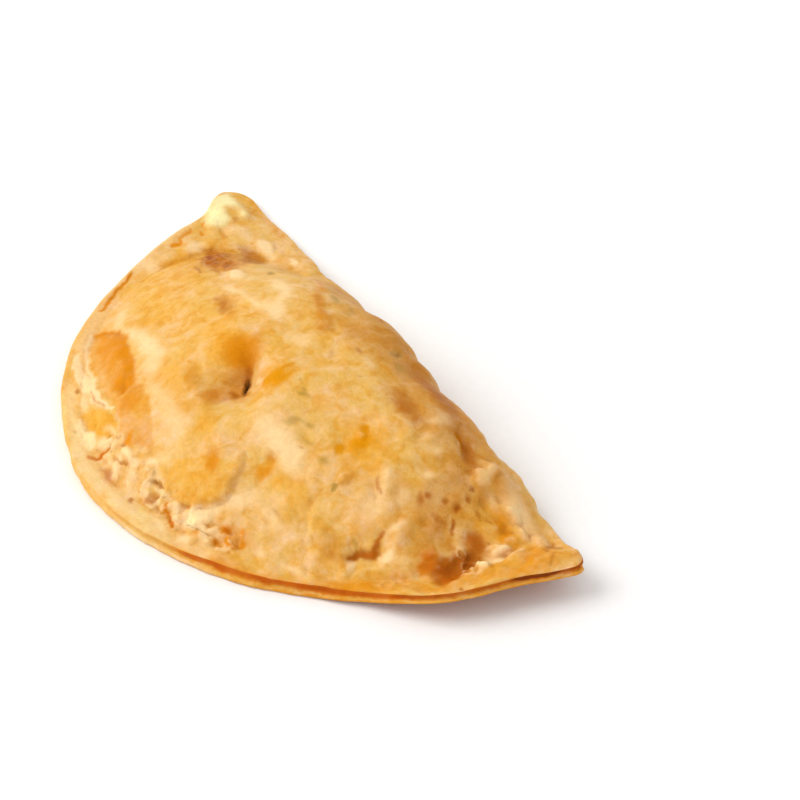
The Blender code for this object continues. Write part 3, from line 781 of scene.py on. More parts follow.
    # Some of these are painted highlights on lumps and lips: (-36, -21.6), (-48.7, -21.2), (5.4, -39.8),
    # (44.2, -27), (24.4, -63), (23.6, -62.4), (51.7, -6.8), (60.5, -3.8) and (66.7, -12.3).
    "cream": [
        (-20, -18, 8, 2.4, -12, 0.75, 1), (-30, -27, 5, 1, -10, 0.5, 1),
        (-13, -25.6, 5, 2.4, 0, 0.55, 0.9), (2, -25, 3.6, 2, 0, 0.5, 0.9),
        (-26, -49.6, 9, 2.2, -8, 0.75, 1), (-17, -53, 4, 1.6, 0, 0.5, 0.9),
        (-6, -56.4, 6, 2, -5, 0.5, 0.9), (4, -57, 5, 1.8, 0, 0.5, 0.9),
        (23, -42.6, 7, 2.8, 10, 0.75, 0.9), (29.5, -41.5, 4, 2.6, 0, 0.6, 0.9),
        (33, -49, 4, 1.6, 30, 0.35, 1), (36, -50.8, 6, 1.6, 15, 0.55, 1),
        (38.6, -55.6, 2.2, 1.2, 0, 0.7, 0.9), (28, -54.4, 1.6, 3.4, -25, 0.7, 0.9),
        (-24, -66.8, 3.4, 1, -10, 0.7, 0.8), (-8, -67.2, 3.4, 0.7, 5, 0.7, 0.9),
        (-6.9, -69.4, 1.7, 1.2, 20, 0.9, 0.8), (-0.5, -70.6, 3, 0.8, -5, 0.8, 0.8),
        (-0.6, -68.8, 1.6, 0.7, 0, 0.8, 0.8), (7.4, -65.2, 2.2, 0.8, 15, 0.8, 0.8),
        (10.4, -67.2, 1.2, 0.7, 60, 0.7, 0.8), (14.6, -66.2, 2, 0.6, 25, 0.8, 0.8),
        (17.4, -66.8, 1.6, 0.6, 30, 0.9, 0.8), (20, -65, 1.8, 0.6, 25, 0.8, 0.8),
        (23.6, -62.4, 1.2, 1, 30, 1, 0.7), (26.6, -63.2, 1.5, 1.2, 0, 0.8, 0.8),
        (26, -60, 1.1, 2, -15, 0.8, 0.8), (29.4, -62.4, 1.3, 1.4, 0, 0.5, 0.9),
        (31.8, -59.8, 0.8, 1.7, 0, 0.9, 0.8), (17.5, -70.6, 3.6, 1, 10, 0.4, 1),
        (8.4, -70.8, 2.6, 1.2, 20, 0.45, 0.9), (36.6, -8.6, 2, 2.2, -10, 0.6, 0.9),
        (37.5, -12, 1, 2, -15, 0.45, 0.9), (16.8, -16.2, 2, 1.2, 0, 0.5, 0.9),
        (-56, -3.8, 4.4, 1.7, -8, 1, 0.8), (-45, -2.2, 1.8, 0.9, -20, 0.9, 0.9),
        (-36, -21.6, 2.2, 1.1, -20, 1, 0.8), (-65.6, -18, 1.8, 2.6, 10, 0.85, 0.9),
        (-64, -31, 2.6, 2.4, 0, 0.7, 0.9), (-67.4, -6.2, 1.5, 2, 0, 0.5, 0.9),
        (-45, -47.6, 7, 1.8, -30, 0.6, 1), (-66, -26, 1.8, 2.6, 15, 0.5, 0.9),
        (-49, -10.6, 1, 0.7, -30, 0.4, 0.9), (0.8, -67, 1.8, 1, 0, 1, 0.7),
        (3.9, -67.6, 1.5, 1.1, 20, 1, 0.7), (24.4, -63, 1.7, 2.3, -20, 1, 0.7),
        (26.5, -67.5, 1.5, 1, 0, 0.8, 0.8), (-38, -57.8, 4, 1, -20, 0.3, 1),
        (-27, -60.9, 5, 0.7, -8, 0.35, 1), (31, -64.4, 2.2, 0.9, 30, 0.5, 0.9),
        (5.4, -69.4, 1.6, 0.8, 10, 0.6, 0.9), (20.6, -70, 1.8, 0.8, 10, 0.5, 0.9),
        (8.4, -63.2, 2, 0.8, 20, 0.4, 0.9), (-26, -49.6, 9, 2.2, -8, 0.55, 1),
        (-36, -49.2, 5, 1, 0, 0.5, 1), (51.7, -6.8, 3.4, 1.6, -50, 0.4, 0.9),
        (60.5, -3.8, 5.4, 2.6, -4, 0.75, 0.9), (66.7, -12.3, 1, 1.9, -10, 1, 0.8),
        (57, -34.4, 1.1, 1.9, -20, 0.9, 0.8), (59.2, -32, 1, 1.6, -20, 0.4, 0.9),
        (53.6, -41.4, 1.3, 0.8, -35, 0.85, 0.8), (44.2, -27, 2.6, 1.8, -20, 0.5, 0.9),
        (47, -33, 3.4, 3, 0, 0.6, 0.9), (69.6, -9.2, 1, 1.2, 0, 0.8, 0.8),
        (53.4, -30, 0.9, 2.2, 0, 0.7, 0.8), (47, -52, 4.2, 1, 25, 0.6, 0.9),
        (44, -14.6, 1.3, 1.5, 0, 0.5, 0.9), (47.6, -18.8, 1, 1.2, 0, 0.6, 0.9),
        (56.8, -8.2, 2, 0.9, 0, 0.5, 0.9), (49, -26, 1.8, 2.4, 20, 0.4, 0.9),
        (62, -34.6, 0.8, 1.8, 40, 0.6, 0.9), (-66, 0.4, 3, 1.4, -10, 0.4, 1),
        (-64, -5.6, 3, 2, -10, 0.4, 1), (68.6, -15.4, 1.4, 1.8, 20, 0.6, 0.9),
        (72.6, -9.6, 1.4, 2.4, 10, 0.4, 0.9), (74.4, -15.4, 1.4, 2.6, -10, 0.35, 0.9),
        (52, -20, 3, 4, 0, 0.35, 0.9), (22, -39, 5, 4, 0, 0.2, 0.9), (7, -60, 5, 3.6, 0, 0.25, 0.9),
        (-31, -21, 6, 4, -20, 0.3, 0.9), (5.4, -39.8, 1.6, 0.6, 10, 0.5, 0.9),
        (67.2, -12.4, 1.6, 1.8, 0, 0.4, 0.9), (-48.7, -21.2, 1.8, 0.9, -20, 0.5, 0.9),
        (75, -6.6, 1.6, 1.6, 0, 0.3, 0.9),
    ],
    "olive": [
        (22, -35.5, 8, 4, 20, 0.3, 1), (21.6, -38.4, 1.4, 0.8, 35, 0.7, 0.9),
        (24.6, -35.5, 1.2, 0.6, 40, 0.6, 0.9), (18.2, -32.4, 2, 0.9, 10, 0.4, 0.9),
        (16.4, -32, 0.7, 0.5, 0, 0.6, 0.9), (33.4, -36.4, 1.4, 1.4, 0, 0.6, 0.9),
        (27.4, -37.6, 2.4, 0.9, 25, 0.5, 0.9), (39.7, -37.2, 0.8, 0.6, 0, 0.9, 0.9),
        (-9.6, -9.8, 2.8, 1.2, -25, 0.7, 0.9), (-3.2, -9.2, 2.4, 1, -15, 0.6, 0.9),
        (-1.6, -11.4, 1.4, 0.8, -20, 0.5, 0.9), (13.6, -7, 1.2, 2.4, 30, 0.8, 0.9),
        (18.4, -9, 2, 1, -20, 0.6, 0.9), (19, -19, 0.6, 0.5, 0, 0.6, 0.9),
        (42, -8, 2.4, 1.2, 0, 0.5, 0.9), (-32, -14.9, 1.7, 0.7, -25, 0.9, 0.9),
        (-33, -23.5, 4, 0.8, -10, 0.3, 1), (38, -48, 8, 2.4, 15, 0.35, 1),
        (19.4, -44.6, 0.6, 1.6, 20, 0.4, 0.9), (9.8, -65.5, 0.8, 0.45, 0, 0.8, 0.8),
        (11.2, -66.6, 1.1, 0.6, 20, 0.8, 0.8), (-12.9, -72, 0.6, 0.35, 0, 0.9, 0.9),
        (-11.6, -73.5, 0.5, 0.3, 0, 0.7, 0.9), (2.5, -49, 2.8, 2.2, 0, 0.35, 0.9),
        (-2.4, -49.6, 3.4, 1.8, -10, 0.3, 0.9), (17, -33, 1.5, 0.5, 32, 0.7, 0.9),
        (22, -37, 1.4, 0.5, 35, 0.6, 0.9), (27, -41, 1.3, 0.5, 30, 0.6, 0.9),
        (14, -31.4, 0.8, 0.5, 0, 0.5, 0.9), (40, -37.5, 0.7, 0.5, 0, 0.9, 0.9),
        (58, -10.6, 2.2, 0.8, 0, 0.4, 1),
    ],
    "oil": [
        (42, -7.8, 1.2, 0.8, 0, 0.9, 0.9), (9.4, -36.2, 2.8, 3.8, 0, 0.8, 1),
        (43.5, -8.4, 1.5, 0.7, -10, 0.9, 0.8), (32, -26, 1.4, 0.9, 0, 0.9, 0.8),
        (34.6, -28.4, 1.6, 2.8, 0, 0.9, 0.8), (33, -32.5, 1.2, 1, 0, 0.8, 0.8),
        (37.6, -25, 2.2, 1.4, 20, 0.4, 0.9), (37, -31, 2.6, 2, 0, 0.3, 1),
    ],
    # The spot at (2.4, -40.4) is painted shade in the vent's slit. The rest are dark pits and cracks.
    "umber": [
        (13.8, -7.4, 0.7, 1.5, 30, 0.5, 0.9), (-60.2, -17, 0.9, 0.6, -20, 0.7, 0.8),
        (-53, -19.8, 1.7, 0.45, -28, 0.7, 0.9), (-45.6, -18.6, 1.2, 0.6, -30, 0.4, 0.9),
        (-57, -18.2, 0.9, 0.4, -20, 0.5, 0.9), (2.4, -40.4, 2.4, 1.1, -50, 0.75, 0.8),
        (65.6, -19.2, 1.2, 1.7, 10, 0.5, 0.8), (53.5, -11.5, 0.8, 0.6, 0, 0.6, 0.8),
        (56, -16.5, 0.6, 0.45, 0, 0.5, 0.8), (58.6, -19, 0.7, 0.3, -40, 0.4, 0.8),
        (64.6, -13.6, 0.5, 0.6, 0, 0.5, 0.8), (66.2, -24, 1, 2.2, 0, 0.35, 0.9),
        (-54.8, -19.4, 1.1, 0.8, 0, 0.7, 0.8), (-44.8, -19.8, 2.2, 0.9, -30, 0.4, 0.9),
        (-59.4, -20.6, 0.8, 0.6, 0, 0.4, 0.9), (-50.6, -16.6, 0.8, 0.5, -30, 0.4, 0.9),
        (-48.6, -22.6, 1.2, 0.5, -20, 0.4, 0.9), (66.8, -20.4, 1, 1.8, 0, 0.35, 0.8),
    ],
    # A painted shadow inside the vent's slit.
    "burnt": [(3, -41.3, 1.8, 0.5, -50, 1, 0.7)],
    "pores": [
        (8, -10, 20, 6, 0, 0.35, 1), (-52.5, -18.2, 8.5, 4.2, -26, 1, 0.9),
        (55.5, -18, 6.5, 6.5, 0, 0.5, 0.9), (5, -72.5, 12, 2.6, 5, 0.4, 0.9),
        (48, -30, 6, 4, 0, 0.3, 0.9), (46, -10, 6, 3, 0, 0.5, 0.9), (-54, -15, 9, 4.5, -28, 0.9, 0.8),
    ],
}

# Patches of a tone: strength, width of the edge, outline.
PATCHES = {
    "butter": [
        (0.7, 3, [
            (-82.8, -0.6), (-81.4, -5.4), (-78, -9.8), (-75, -11.3), (-71, -11.4), (-69.8, -8.6),
            (-71.2, -6.4), (-75, -5), (-77, -2.6), (-80, -0.4),
        ]),
    ],
    "golden": [
        (0.5, 1.2, [
            (21.3, -49.2), (23.2, -51.2), (25, -53.8), (26.9, -56.4), (25.6, -58.2), (25.2, -60),
            (22.8, -61.6), (21.6, -63.4), (17.6, -65), (13, -65.2), (12, -61), (14.2, -57.8),
            (16.6, -54.4), (20.4, -52.8),
        ]),
        (0.8, 1, [
            (-24, -67), (-19, -66), (-12, -65.3), (-6.4, -66.3), (-5, -69), (-12, -69.5), (-21, -69.2),
        ]),
        (0.7, 0.9, [
            (25.4, -45.2), (27.4, -45), (28.7, -47.4), (28.4, -49.6), (26.6, -49.6), (25.4, -47.6),
        ]),
    ],
    "amber": [
        (0.42, 0.9, [
            (-46, -52.6), (-43, -51), (-40, -50.2), (-35, -50.6), (-30, -53), (-25, -54.2), (-20, -57),
            (-15.5, -60), (-16, -63), (-20, -63.2), (-28, -62), (-36, -60), (-42, -57.2), (-46, -54),
        ]),
        (0.35, 2.2, [
            (-45, -53), (-40, -51), (-34, -52), (-26, -55), (-18, -59), (-20, -61), (-30, -59.4),
            (-40, -56),
        ]),
        (0.45, 1.2, [
            (-17.2, -58.4), (-13.4, -56.9), (-8, -58), (-3, -60), (3, -62.2), (5, -64.2), (0, -65.8),
            (-6, -65.8), (-12, -64.2), (-17, -62.2),
        ]),
        (0.7, 1.6, [
            (60.6, -26), (62.4, -24.8), (64.6, -25.6), (65.2, -28.2), (64, -29.8), (61.6, -29.6),
        ]),
    ],
    "toast": [
        (0.42, 2, [
            (-62.6, -8.4), (-56, -6.9), (-52.2, -5.4), (-49.6, -7.8), (-45, -11.8), (-40.6, -17.4),
            (-45.4, -16.4), (-52, -12.4), (-57.4, -10),
        ]),
        (0.5, 1.6, [
            (-47.4, -17.2), (-43, -16.8), (-39.8, -19.8), (-41, -22.4), (-44.6, -21.6), (-47.6, -19.6),
        ]),
        (0.45, 2, [
            (-63.6, -14.4), (-58, -15), (-51, -18), (-45, -22.4), (-38.6, -23.6), (-44, -24.6),
            (-52, -23.4), (-59, -20.6),
        ]),
    ],
    "cream": [
        (0.95, 0.9, [
            (-41.4, -60.6), (-36, -61.8), (-28, -62.8), (-20, -64), (-14.8, -63.6), (-14.2, -64.6),
            (-18, -65.4), (-24, -65.7), (-30, -65.3), (-36, -64.2), (-41.6, -62),
        ]),
        (0.9, 1, [(-20, -70.2), (-14, -69.8), (-9.6, -70), (-9.4, -72.2), (-13, -73), (-18, -72.2)]),
    ],
}

# Strokes of a tone: strength, half width, points.
STROKES = {
    "butter": [
        (0.3, 3.2, [(-30, -69.5), (-18, -73.5), (-6, -75.5), (8, -75), (20, -71.5)]),
    ],
    "golden": [
        (0.5, 3, [(-60, -45), (-52, -52.6), (-42, -60.6), (-29, -69), (-20, -73)]),
    ],
    "amber": [
        (0.75, 1.3, [(-36.6, -52), (-30.4, -53.9), (-25.3, -54.8), (-19.8, -57.2), (-18, -59.4)]),
        (0.6, 0.6, [(-46, -53.2), (-43.6, -51.5), (-39.6, -50.9), (-36.4, -51.6)]),
        (0.6, 1.8, [(36, -65.6), (44, -60), (52, -53), (58.4, -46)]),
        (0.4, 1.3, [(-81, 3.4), (-76, 3.2), (-70, 3), (-64, 2.8), (-60, 2.6)]),
        (0.6, 0.6, [(-73.2, 2), (-72, 1), (-71, 0)]),
        (0.7, 0.6, [(-73, -16), (-71.6, -18.2), (-70, -20.2), (-69.5, -23)]),
        (0.9, 0.7, [(-64, -36), (-61.2, -39.2), (-59.6, -42), (-57, -45.6), (-54.4, -48.2)]),
        (0.4, 0.5, [(-68.5, -9.6), (-65, -10.6), (-63, -13)]),
        (0.8, 1.1, [
            (-45.2, -52.7), (-40.2, -51.2), (-35, -51.8), (-30.2, -54), (-25, -55.4), (-20.2, -57.8),
            (-17, -60),
        ]),
        (0.9, 0.55, [(-5, -69.7), (-6.2, -71.4), (-6.6, -72.6), (-8.2, -73.5)]),
        (0.9, 0.65, [(17, -66.5), (19.4, -67.6), (22.2, -68)]),
        (0.9, 0.5, [(32.4, -60.2), (33.7, -60.6), (35.2, -60)]),
        (0.35, 1, [(60.6, -34.4), (65, -32.4), (69, -31.2), (72, -29.6)]),
        (0.3, 0.9, [(63, -36), (67, -33.6), (70.6, -32)]),
        (0.5, 1.5, [(-25, -6), (-18, -9), (-13, -12), (-7, -15.6), (0, -18.6)]),
    ],
    # These strokes are painted shade: the ones by the vent's steep side, along both blisters' edges, and
    # under the pale band at (44, -29).
    "toast": [
        (0.35, 0.6, [(4.4, -44.6), (4.3, -43.2), (4.3, -41.6)]),
        (0.85, 0.7, [(-55.6, -19), (-52, -20.6), (-48.8, -22.2)]),
        (0.6, 0.6, [(-50.2, -25.2), (-47.6, -26), (-45, -27)]),
        (0.4, 1, [(-62.4, -15), (-63.2, -20), (-63, -25), (-61.2, -30)]),
        (0.45, 0.35, [(-64, -36), (-61.2, -39.2), (-59.6, -42), (-57, -45.6), (-54.4, -48.2)]),
        (0.3, 1.2, [(21.4, -49.6), (23.6, -52), (25.4, -54.6), (25.8, -57.4), (24.6, -60), (23, -62)]),
        (0.6, 0.35, [(-26, -64.9), (-22, -65.1), (-17, -65)]),
        (0.7, 0.3, [(-5, -69.7), (-6.2, -71.4), (-6.6, -72.6), (-8.2, -73.5)]),
        (0.35, 0.6, [(-44.6, -52.4), (-40.2, -51), (-35.4, -51.4)]),
        (0.5, 0.3, [(17, -66.5), (19.4, -67.6), (22.2, -68)]),
        (0.35, 0.9, [(4.3, -41.6), (5.1, -44), (5.6, -47)]),
        (0.5, 0.5, [(70, -1), (72, -3), (74, -5)]),
        (0.5, 0.5, [(75, -4), (76.4, -5.4), (78, -7)]),
        (0.75, 0.7, [(53, -33), (53.6, -35), (55, -36)]),
        (0.9, 0.75, [(55, -36), (54, -37.6), (52.6, -39), (52.2, -41)]),
        (0.6, 0.6, [(43, -28.6), (44.6, -29.3), (46.2, -29.4)]),
        (0.4, 0.5, [(-7, -4.6), (-2, -4.8), (3, -3)]),
    ],
    "rust": [
        (0.5, 0.4, [(-5, -69.7), (-6.2, -71.4), (-6.6, -72.6), (-8.2, -73.5)]),
        (0.4, 0.5, [(53, -33.4), (53.8, -35.2), (54.6, -36.6), (53.6, -38.2), (52.4, -40)]),
    ],
    # The strokes along the left blister's outer edge and on the vent's lip are painted highlights.
    "cream": [
        (0.5, 2.2, [
            (-76.5, -13.5), (-73.6, -21), (-69.4, -29), (-63.6, -38), (-56.6, -47), (-48.6, -54.6),
            (-40, -61),
        ]),
        (0.7, 0.4, [(-58, -18.4), (-53, -21.2), (-48.5, -23.6)]),
        (0.45, 1.6, [
            (-33, -66.6), (-24, -70.6), (-13, -74), (-2, -75.4), (9, -75), (20, -72.4), (30, -68),
            (40, -61.6),
        ]),
        (0.8, 0.45, [(-46.6, -54.4), (-42.4, -57.8), (-36.4, -60.7), (-28.4, -62.6)]),
        (0.75, 0.8, [(5, -37.6), (7.5, -38.4), (10.2, -39.2)]),
        (0.5, 0.8, [(-29, -26.6), (-22, -26.2), (-15, -26.6)]),
        (0.6, 1.4, [(-15, -20), (-12, -23), (-8, -26)]),
        (0.35, 1, [(-13, -42.6), (-8, -45), (-4, -46)]),
        (0.85, 0.6, [(66.5, -22.6), (68.2, -19.6), (70.4, -17)]),
        (0.7, 0.5, [(69, -23.6), (70.6, -20.8), (71.2, -18.2)]),
        (0.6, 0.5, [(67.4, -15.4), (69.4, -14), (70.6, -11.6)]),
        (0.6, 0.5, [(-22, -8.8), (-17, -10)]),
    ],
    "olive": [
        (0.7, 0.45, [(49.8, -38.8), (51, -38.6), (52.2, -38.8)]),
    ],
    "oil": [
        (0.6, 0.6, [(7.8, -30.4), (8.6, -33.6), (8.6, -36.6)]),
        (0.5, 0.6, [(10.6, -31.4), (10.8, -33.8), (10, -36.2)]),
    ],
}


def tone_masks(x, y):
    """How strong each tone is at every vertex."""
    masks = {}
    for tone, spots in SPOTS.items():
        bare = np.ones(x.shape)
        for *ellipse, strength, edge in spots:
            bare *= 1.0 - strength * spot(x, y, *ellipse, edge)
        for strength, width, outline in PATCHES.get(tone, ()):
            bare *= 1.0 - strength * smooth(depth_inside(x, y, outline) / width + 0.5)
        for strength, width, points in STROKES.get(tone, ()):
            bare *= 1.0 - strength * bell(line_distance(x, y, points), width)
        masks[tone] = 1.0 - bare
    return masks


def blotches(places, size, octaves, seed, middle, contrast):
    """Soft uneven blotches from 0 to 1 of the given size, about the middle value."""
    return smooth(middle + contrast * grain(places, size, octaves, seed))


def crumbs(places):
    """Soft uneven lumps, and the thin cracks that wind between some of them."""
    lump = blotches(places, CRUMB_SIZE, octaves=3, seed=31.0, middle=0.5, contrast=1.3)
    winding = np.abs(grain(places, 1.6 * CRUMB_SIZE, octaves=3, seed=37.0))
    cracked = blotches(places, 3.0 * CRUMB_SIZE, octaves=1, seed=43.0, middle=0.45, contrast=1.6)
    return lump, smooth(1.0 - winding / CRUMB_CRACK) * cracked


def crumb_tones(x, y, places, masks):
    """Pale lumps with darkened cracks in the crumbly band; the cracks are partly browning and partly painted
    shade. Where lumps are pale, cracks are faint.
    """
    lump, crack = crumbs(places)
    share = crumb_share(x, y)
    patchy = blotches(places, size=7.0, octaves=1, seed=41.0, middle=0.6, contrast=1.2)
    pale = share * ramp(lump, 0.45, 0.5) * (0.25 + 0.5 * patchy)
    brown = share * crack * (0.6 - 0.45 * patchy)
    masks["cream"] = np.maximum(masks["cream"], pale)
    masks["toast"] = np.maximum(masks["toast"], brown)


# Where along the rim its side changes: (angle it starts at, degrees it takes).
SEAM_PARTS = (SEAM_STARTS, SEAM_GROWS)
SEAM_SHOWS = (SEAM_STARTS, 8.0)
SEAM_REDDENS = (-74.0, 12.0)
SEAM_DARKENS = (-31.0, 9.0)
LEDGE_BROWNS = (-66.0, 12.0)
# Where the ledge's pale line ends; this line is partly a painted highlight on the lower layer's top edge.
LEDGE_PALE_ENDS = (-62.0, 10.0)
# Where up the side, as shares of the rim's thickness: (share it starts at, share it takes).
SEAM_ROOF = (1.0, -0.12)
SEAM_RISE = 0.14
# Where the painted shade in the seam under the upper layer's lip begins.
SEAM_LIP_SHADE = (0.36, 0.2)
LEDGE_FOOT = (0.08, 0.1)
LEDGE_TOP = -0.1
# Where the painted shadow along the foot of the side begins.
SIDE_FOOT_SHADOW = (0.14, -0.1)
# The seam's lower edge where the layers are closed, how far it drops where they part, its raggedness.
SEAM_FLOOR = 0.68
SEAM_FLOOR_DROP = 0.41
SEAM_RAGGED = (0.08, 2.6, 3, 47.0)


def side_tones(x, y, places, share_up):
    """Tones of the rim's side, where the two layers part. They include painted shade in the seam under the
    upper layer's lip, a painted shadow along the foot, and a pale ledge that is partly a painted highlight.
    """
    _, angle = polar(x, y)
    parted, shown, reddened, darkened, browned = (
        ramp(angle, *change)
        for change in (SEAM_PARTS, SEAM_SHOWS, SEAM_REDDENS, SEAM_DARKENS, LEDGE_BROWNS)
    )
    ragged = waves(places, [SEAM_RAGGED])
    uneven = blotches(places, size=7.0, octaves=2, seed=53.0, middle=0.55, contrast=1.1)
    seam_floor = SEAM_FLOOR - SEAM_FLOOR_DROP * parted + ragged
    seam = ramp(share_up - ragged, *SEAM_ROOF) * ramp(share_up, seam_floor, SEAM_RISE)
    ledge = ramp(share_up, seam_floor, LEDGE_TOP) * ramp(share_up, *LEDGE_FOOT)
    foot = ramp(share_up, *SIDE_FOOT_SHADOW)
    red = seam * reddened
    under_lip_shade = ramp(share_up - 1.5 * ragged, *SEAM_LIP_SHADE)
    pale = shown * (1.0 - ramp(angle, *LEDGE_PALE_ENDS))
    orange = np.maximum(ledge * browned * (0.6 + 0.3 * uneven), 0.6 * red * (1.0 - under_lip_shade))
    return {
        # Toast here is the seam's colour, and also a painted shadow along the foot.
        "toast": shown * np.maximum(seam * (0.42 - 0.2 * parted), 0.6 * foot),
        # Rust and umber darken the seam towards its top; this is painted shade under the upper layer's lip.
        # Umber also darkens the seam towards the nose.
        "rust": red * (0.5 + 0.5 * under_lip_shade) * (0.7 + 0.3 * uneven),
        "umber": seam * under_lip_shade * (0.4 * parted * uneven + darkened * (0.4 + 0.3 * uneven)),
        # The pale ledge is partly a painted highlight along the lower layer's top edge.
        "cream": ledge * (0.15 + 0.65 * pale) * (0.4 + 0.6 * uneven),
        "amber": np.maximum(orange, 0.3 * parted * seam),
        "golden": np.full(x.shape, 0.5),
    }


# ---------------------------------------------------------------- the crust
# An edge runs along an axis if its ends are this far apart on it.
RUNS_ALONG = 1e-5
NET_DIGITS = 5
# The relief fades out over these rows at the lip.
LIP_FADE_ROWS = 3
# A face of the underside points down by this much, and this share of such faces is kept.
FACES_DOWN = -0.9
UNDERSIDE_KEPT = 0.06


def deselect_all():
    """Leave edit mode and deselect every object."""
    if bpy.context.object and bpy.context.object.mode != "OBJECT":
        bpy.ops.object.mode_set(mode="OBJECT")
    bpy.ops.object.select_all(action="DESELECT")


def finish_piece(piece, name, material):
    """Name a piece and its mesh, and give it its one material."""
    piece.name = name
    piece.data.name = name
    piece.data.materials.clear()
    piece.data.materials.append(material)


def read_vectors(items, name):
    """A vector of every vertex or face, one to a row."""
    values = np.empty(len(items) * 3, np.float32)
    items.foreach_get(name, values)
    return values.reshape(-1, 3).astype(float)


def read_ends(mesh):
    """The two vertices of every edge, one edge to a row."""
    ends = np.empty(len(mesh.edges) * 2, np.int32)
    mesh.edges.foreach_get("vertices", ends)
    return ends.reshape(-1, 2)


def write_places(mesh, places):
    """Move every vertex to its place, given in metres."""
    mesh.vertices.foreach_set("co", places.astype(np.float32).ravel())
    mesh.update()


def cut_edges(block, axis, cuts):
    """Cut every edge that runs along an axis, in edit mode."""
    mesh = block.data
    places = read_vectors(mesh.vertices, "co")
    first, second = read_ends(mesh).T
    runs = np.abs(places[first, axis] - places[second, axis]) > RUNS_ALONG
    mesh.edges.foreach_set("select", runs)
    bpy.ops.object.mode_set(mode="EDIT")
    bpy.ops.mesh.subdivide(number_cuts=cuts)
    bpy.ops.mesh.select_all(action="DESELECT")
    bpy.ops.object.mode_set(mode="OBJECT")


def cut_block(cells_by_axis):
    """A 2 x 2 x 2 cube whose sides carry the net."""
    bpy.ops.mesh.primitive_cube_add(size=2.0, location=(0.0, 0.0, 0.0))
    block = bpy.context.object
    bpy.ops.object.mode_set(mode="EDIT")
    bpy.ops.mesh.select_mode(type="EDGE")
    bpy.ops.mesh.select_all(action="DESELECT")
    bpy.ops.object.mode_set(mode="OBJECT")
    for axis, steps in enumerate(cells_by_axis):
        for step in steps:
            cut_edges(block, axis, step - 1)
    return block


def store(mesh, name, values):
    """Keep a value for every vertex as an attribute."""
    attribute = mesh.attributes.new(name, "FLOAT", "POINT")
    attribute.data.foreach_set("value", values.astype(np.float32))


def thin_underside(block):
    """The flat underside needs few faces, so most of its net is merged away."""
    mesh = block.data
    flat = read_vectors(mesh.polygons, "normal")[:, 2] < FACES_DOWN
    bpy.ops.object.mode_set(mode="EDIT")
    bpy.ops.mesh.select_mode(type="FACE")
    bpy.ops.mesh.select_all(action="DESELECT")
    bpy.ops.object.mode_set(mode="OBJECT")
    mesh.polygons.foreach_set("select", flat)
    bpy.ops.object.mode_set(mode="EDIT")
    bpy.ops.mesh.decimate(ratio=UNDERSIDE_KEPT)
    bpy.ops.mesh.select_all(action="DESELECT")
    bpy.ops.object.mode_set(mode="OBJECT")


def skin_share(side, row, fold_share):
    """Where there is relief: on top and on the folded side, not on the rim's side or underneath."""
    wall_fade = 1.0 - smooth((row - BAND_ROWS) / WALL_ROWS)
    lip_end = BAND_ROWS + 1
    lip_fade = ramp(row, lip_end, -LIP_FADE_ROWS)
    share = np.where(row < lip_end - LIP_FADE_ROWS, 1.0, lip_fade + (wall_fade - lip_fade) * fold_share)
    return np.where((side < 0.0) & (row >= EDGE_ROWS - UNDER_ROWS), 0.0, share)


def skin_masks(x, y, bent_x, bent_y, plain, fold_share, share_up):
    """Every tone's mask: spots and crumbs on the skin, and the layers' own tones on the rim's side."""
    masks = tone_masks(bent_x, bent_y)
    crumb_tones(bent_x, bent_y, plain, masks)
    on_side = np.where(share_up < ON_TOP, 1.0 - fold_share, 0.0)
    for tone, values in side_tones(x, y, plain, share_up).items():
        masks[tone] = values * on_side + masks[tone] * (1.0 - on_side)
    return masks


def make_crust(colours):
    """The crust's whole skin, cut, shaped and toned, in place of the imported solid."""
    deselect_all()
    block = cut_block((*PLAN_CELLS, (EDGE_ROWS,)))
    mesh = block.data
    net = np.round(read_vectors(mesh.vertices, "co"), NET_DIGITS)
    x, y, z, row, fold_share, share_up = skin_points(*net.T)
    to_scene = np.array((*MIDDLE, 0.0))
    plain = np.stack([x, y, z], axis=1)
    write_places(mesh, (plain + to_scene) * MM)
    normals = read_vectors(mesh.vertex_normals, "vector")

    bent_x = x + WARP * grain(plain, WARP_SIZE, WARP_OCTAVES, seed=11.0)
    bent_y = y + WARP * grain(plain, WARP_SIZE, WARP_OCTAVES, seed=23.0)
    masks = skin_masks(x, y, bent_x, bent_y, plain, fold_share, share_up)
    skin = skin_share(net[:, 2], row, fold_share)
    height = relief(bent_x, bent_y, plain, masks) * skin
    placed = plain + normals * (height + vent_relief(x, y) * skin)[:, None]
    placed[:, 2] = np.maximum(placed[:, 2], 0.0)
    write_places(mesh, (placed + to_scene) * MM)

    on_skin = (row < EDGE_ROWS - UNDER_ROWS).astype(float)
    for tone, values in masks.items():
        store(mesh, tone, values * on_skin)
    store(mesh, "hollow", hollows(mesh, height) * on_skin)
    store(mesh, "underside", 1.0 - on_skin)
    thin_underside(block)
    mesh.shade_smooth()
    finish_piece(block, "crust_skin", dough_material(colours))
    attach(block, "root")
    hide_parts("crust")


# ---------------------------------------------------------------- materials
# Where a Mix node keeps its share and its two colours, and where it puts out the mixed colour.
MIX_INPUTS = (0, 6, 7)
MIX_OUTPUT = 2


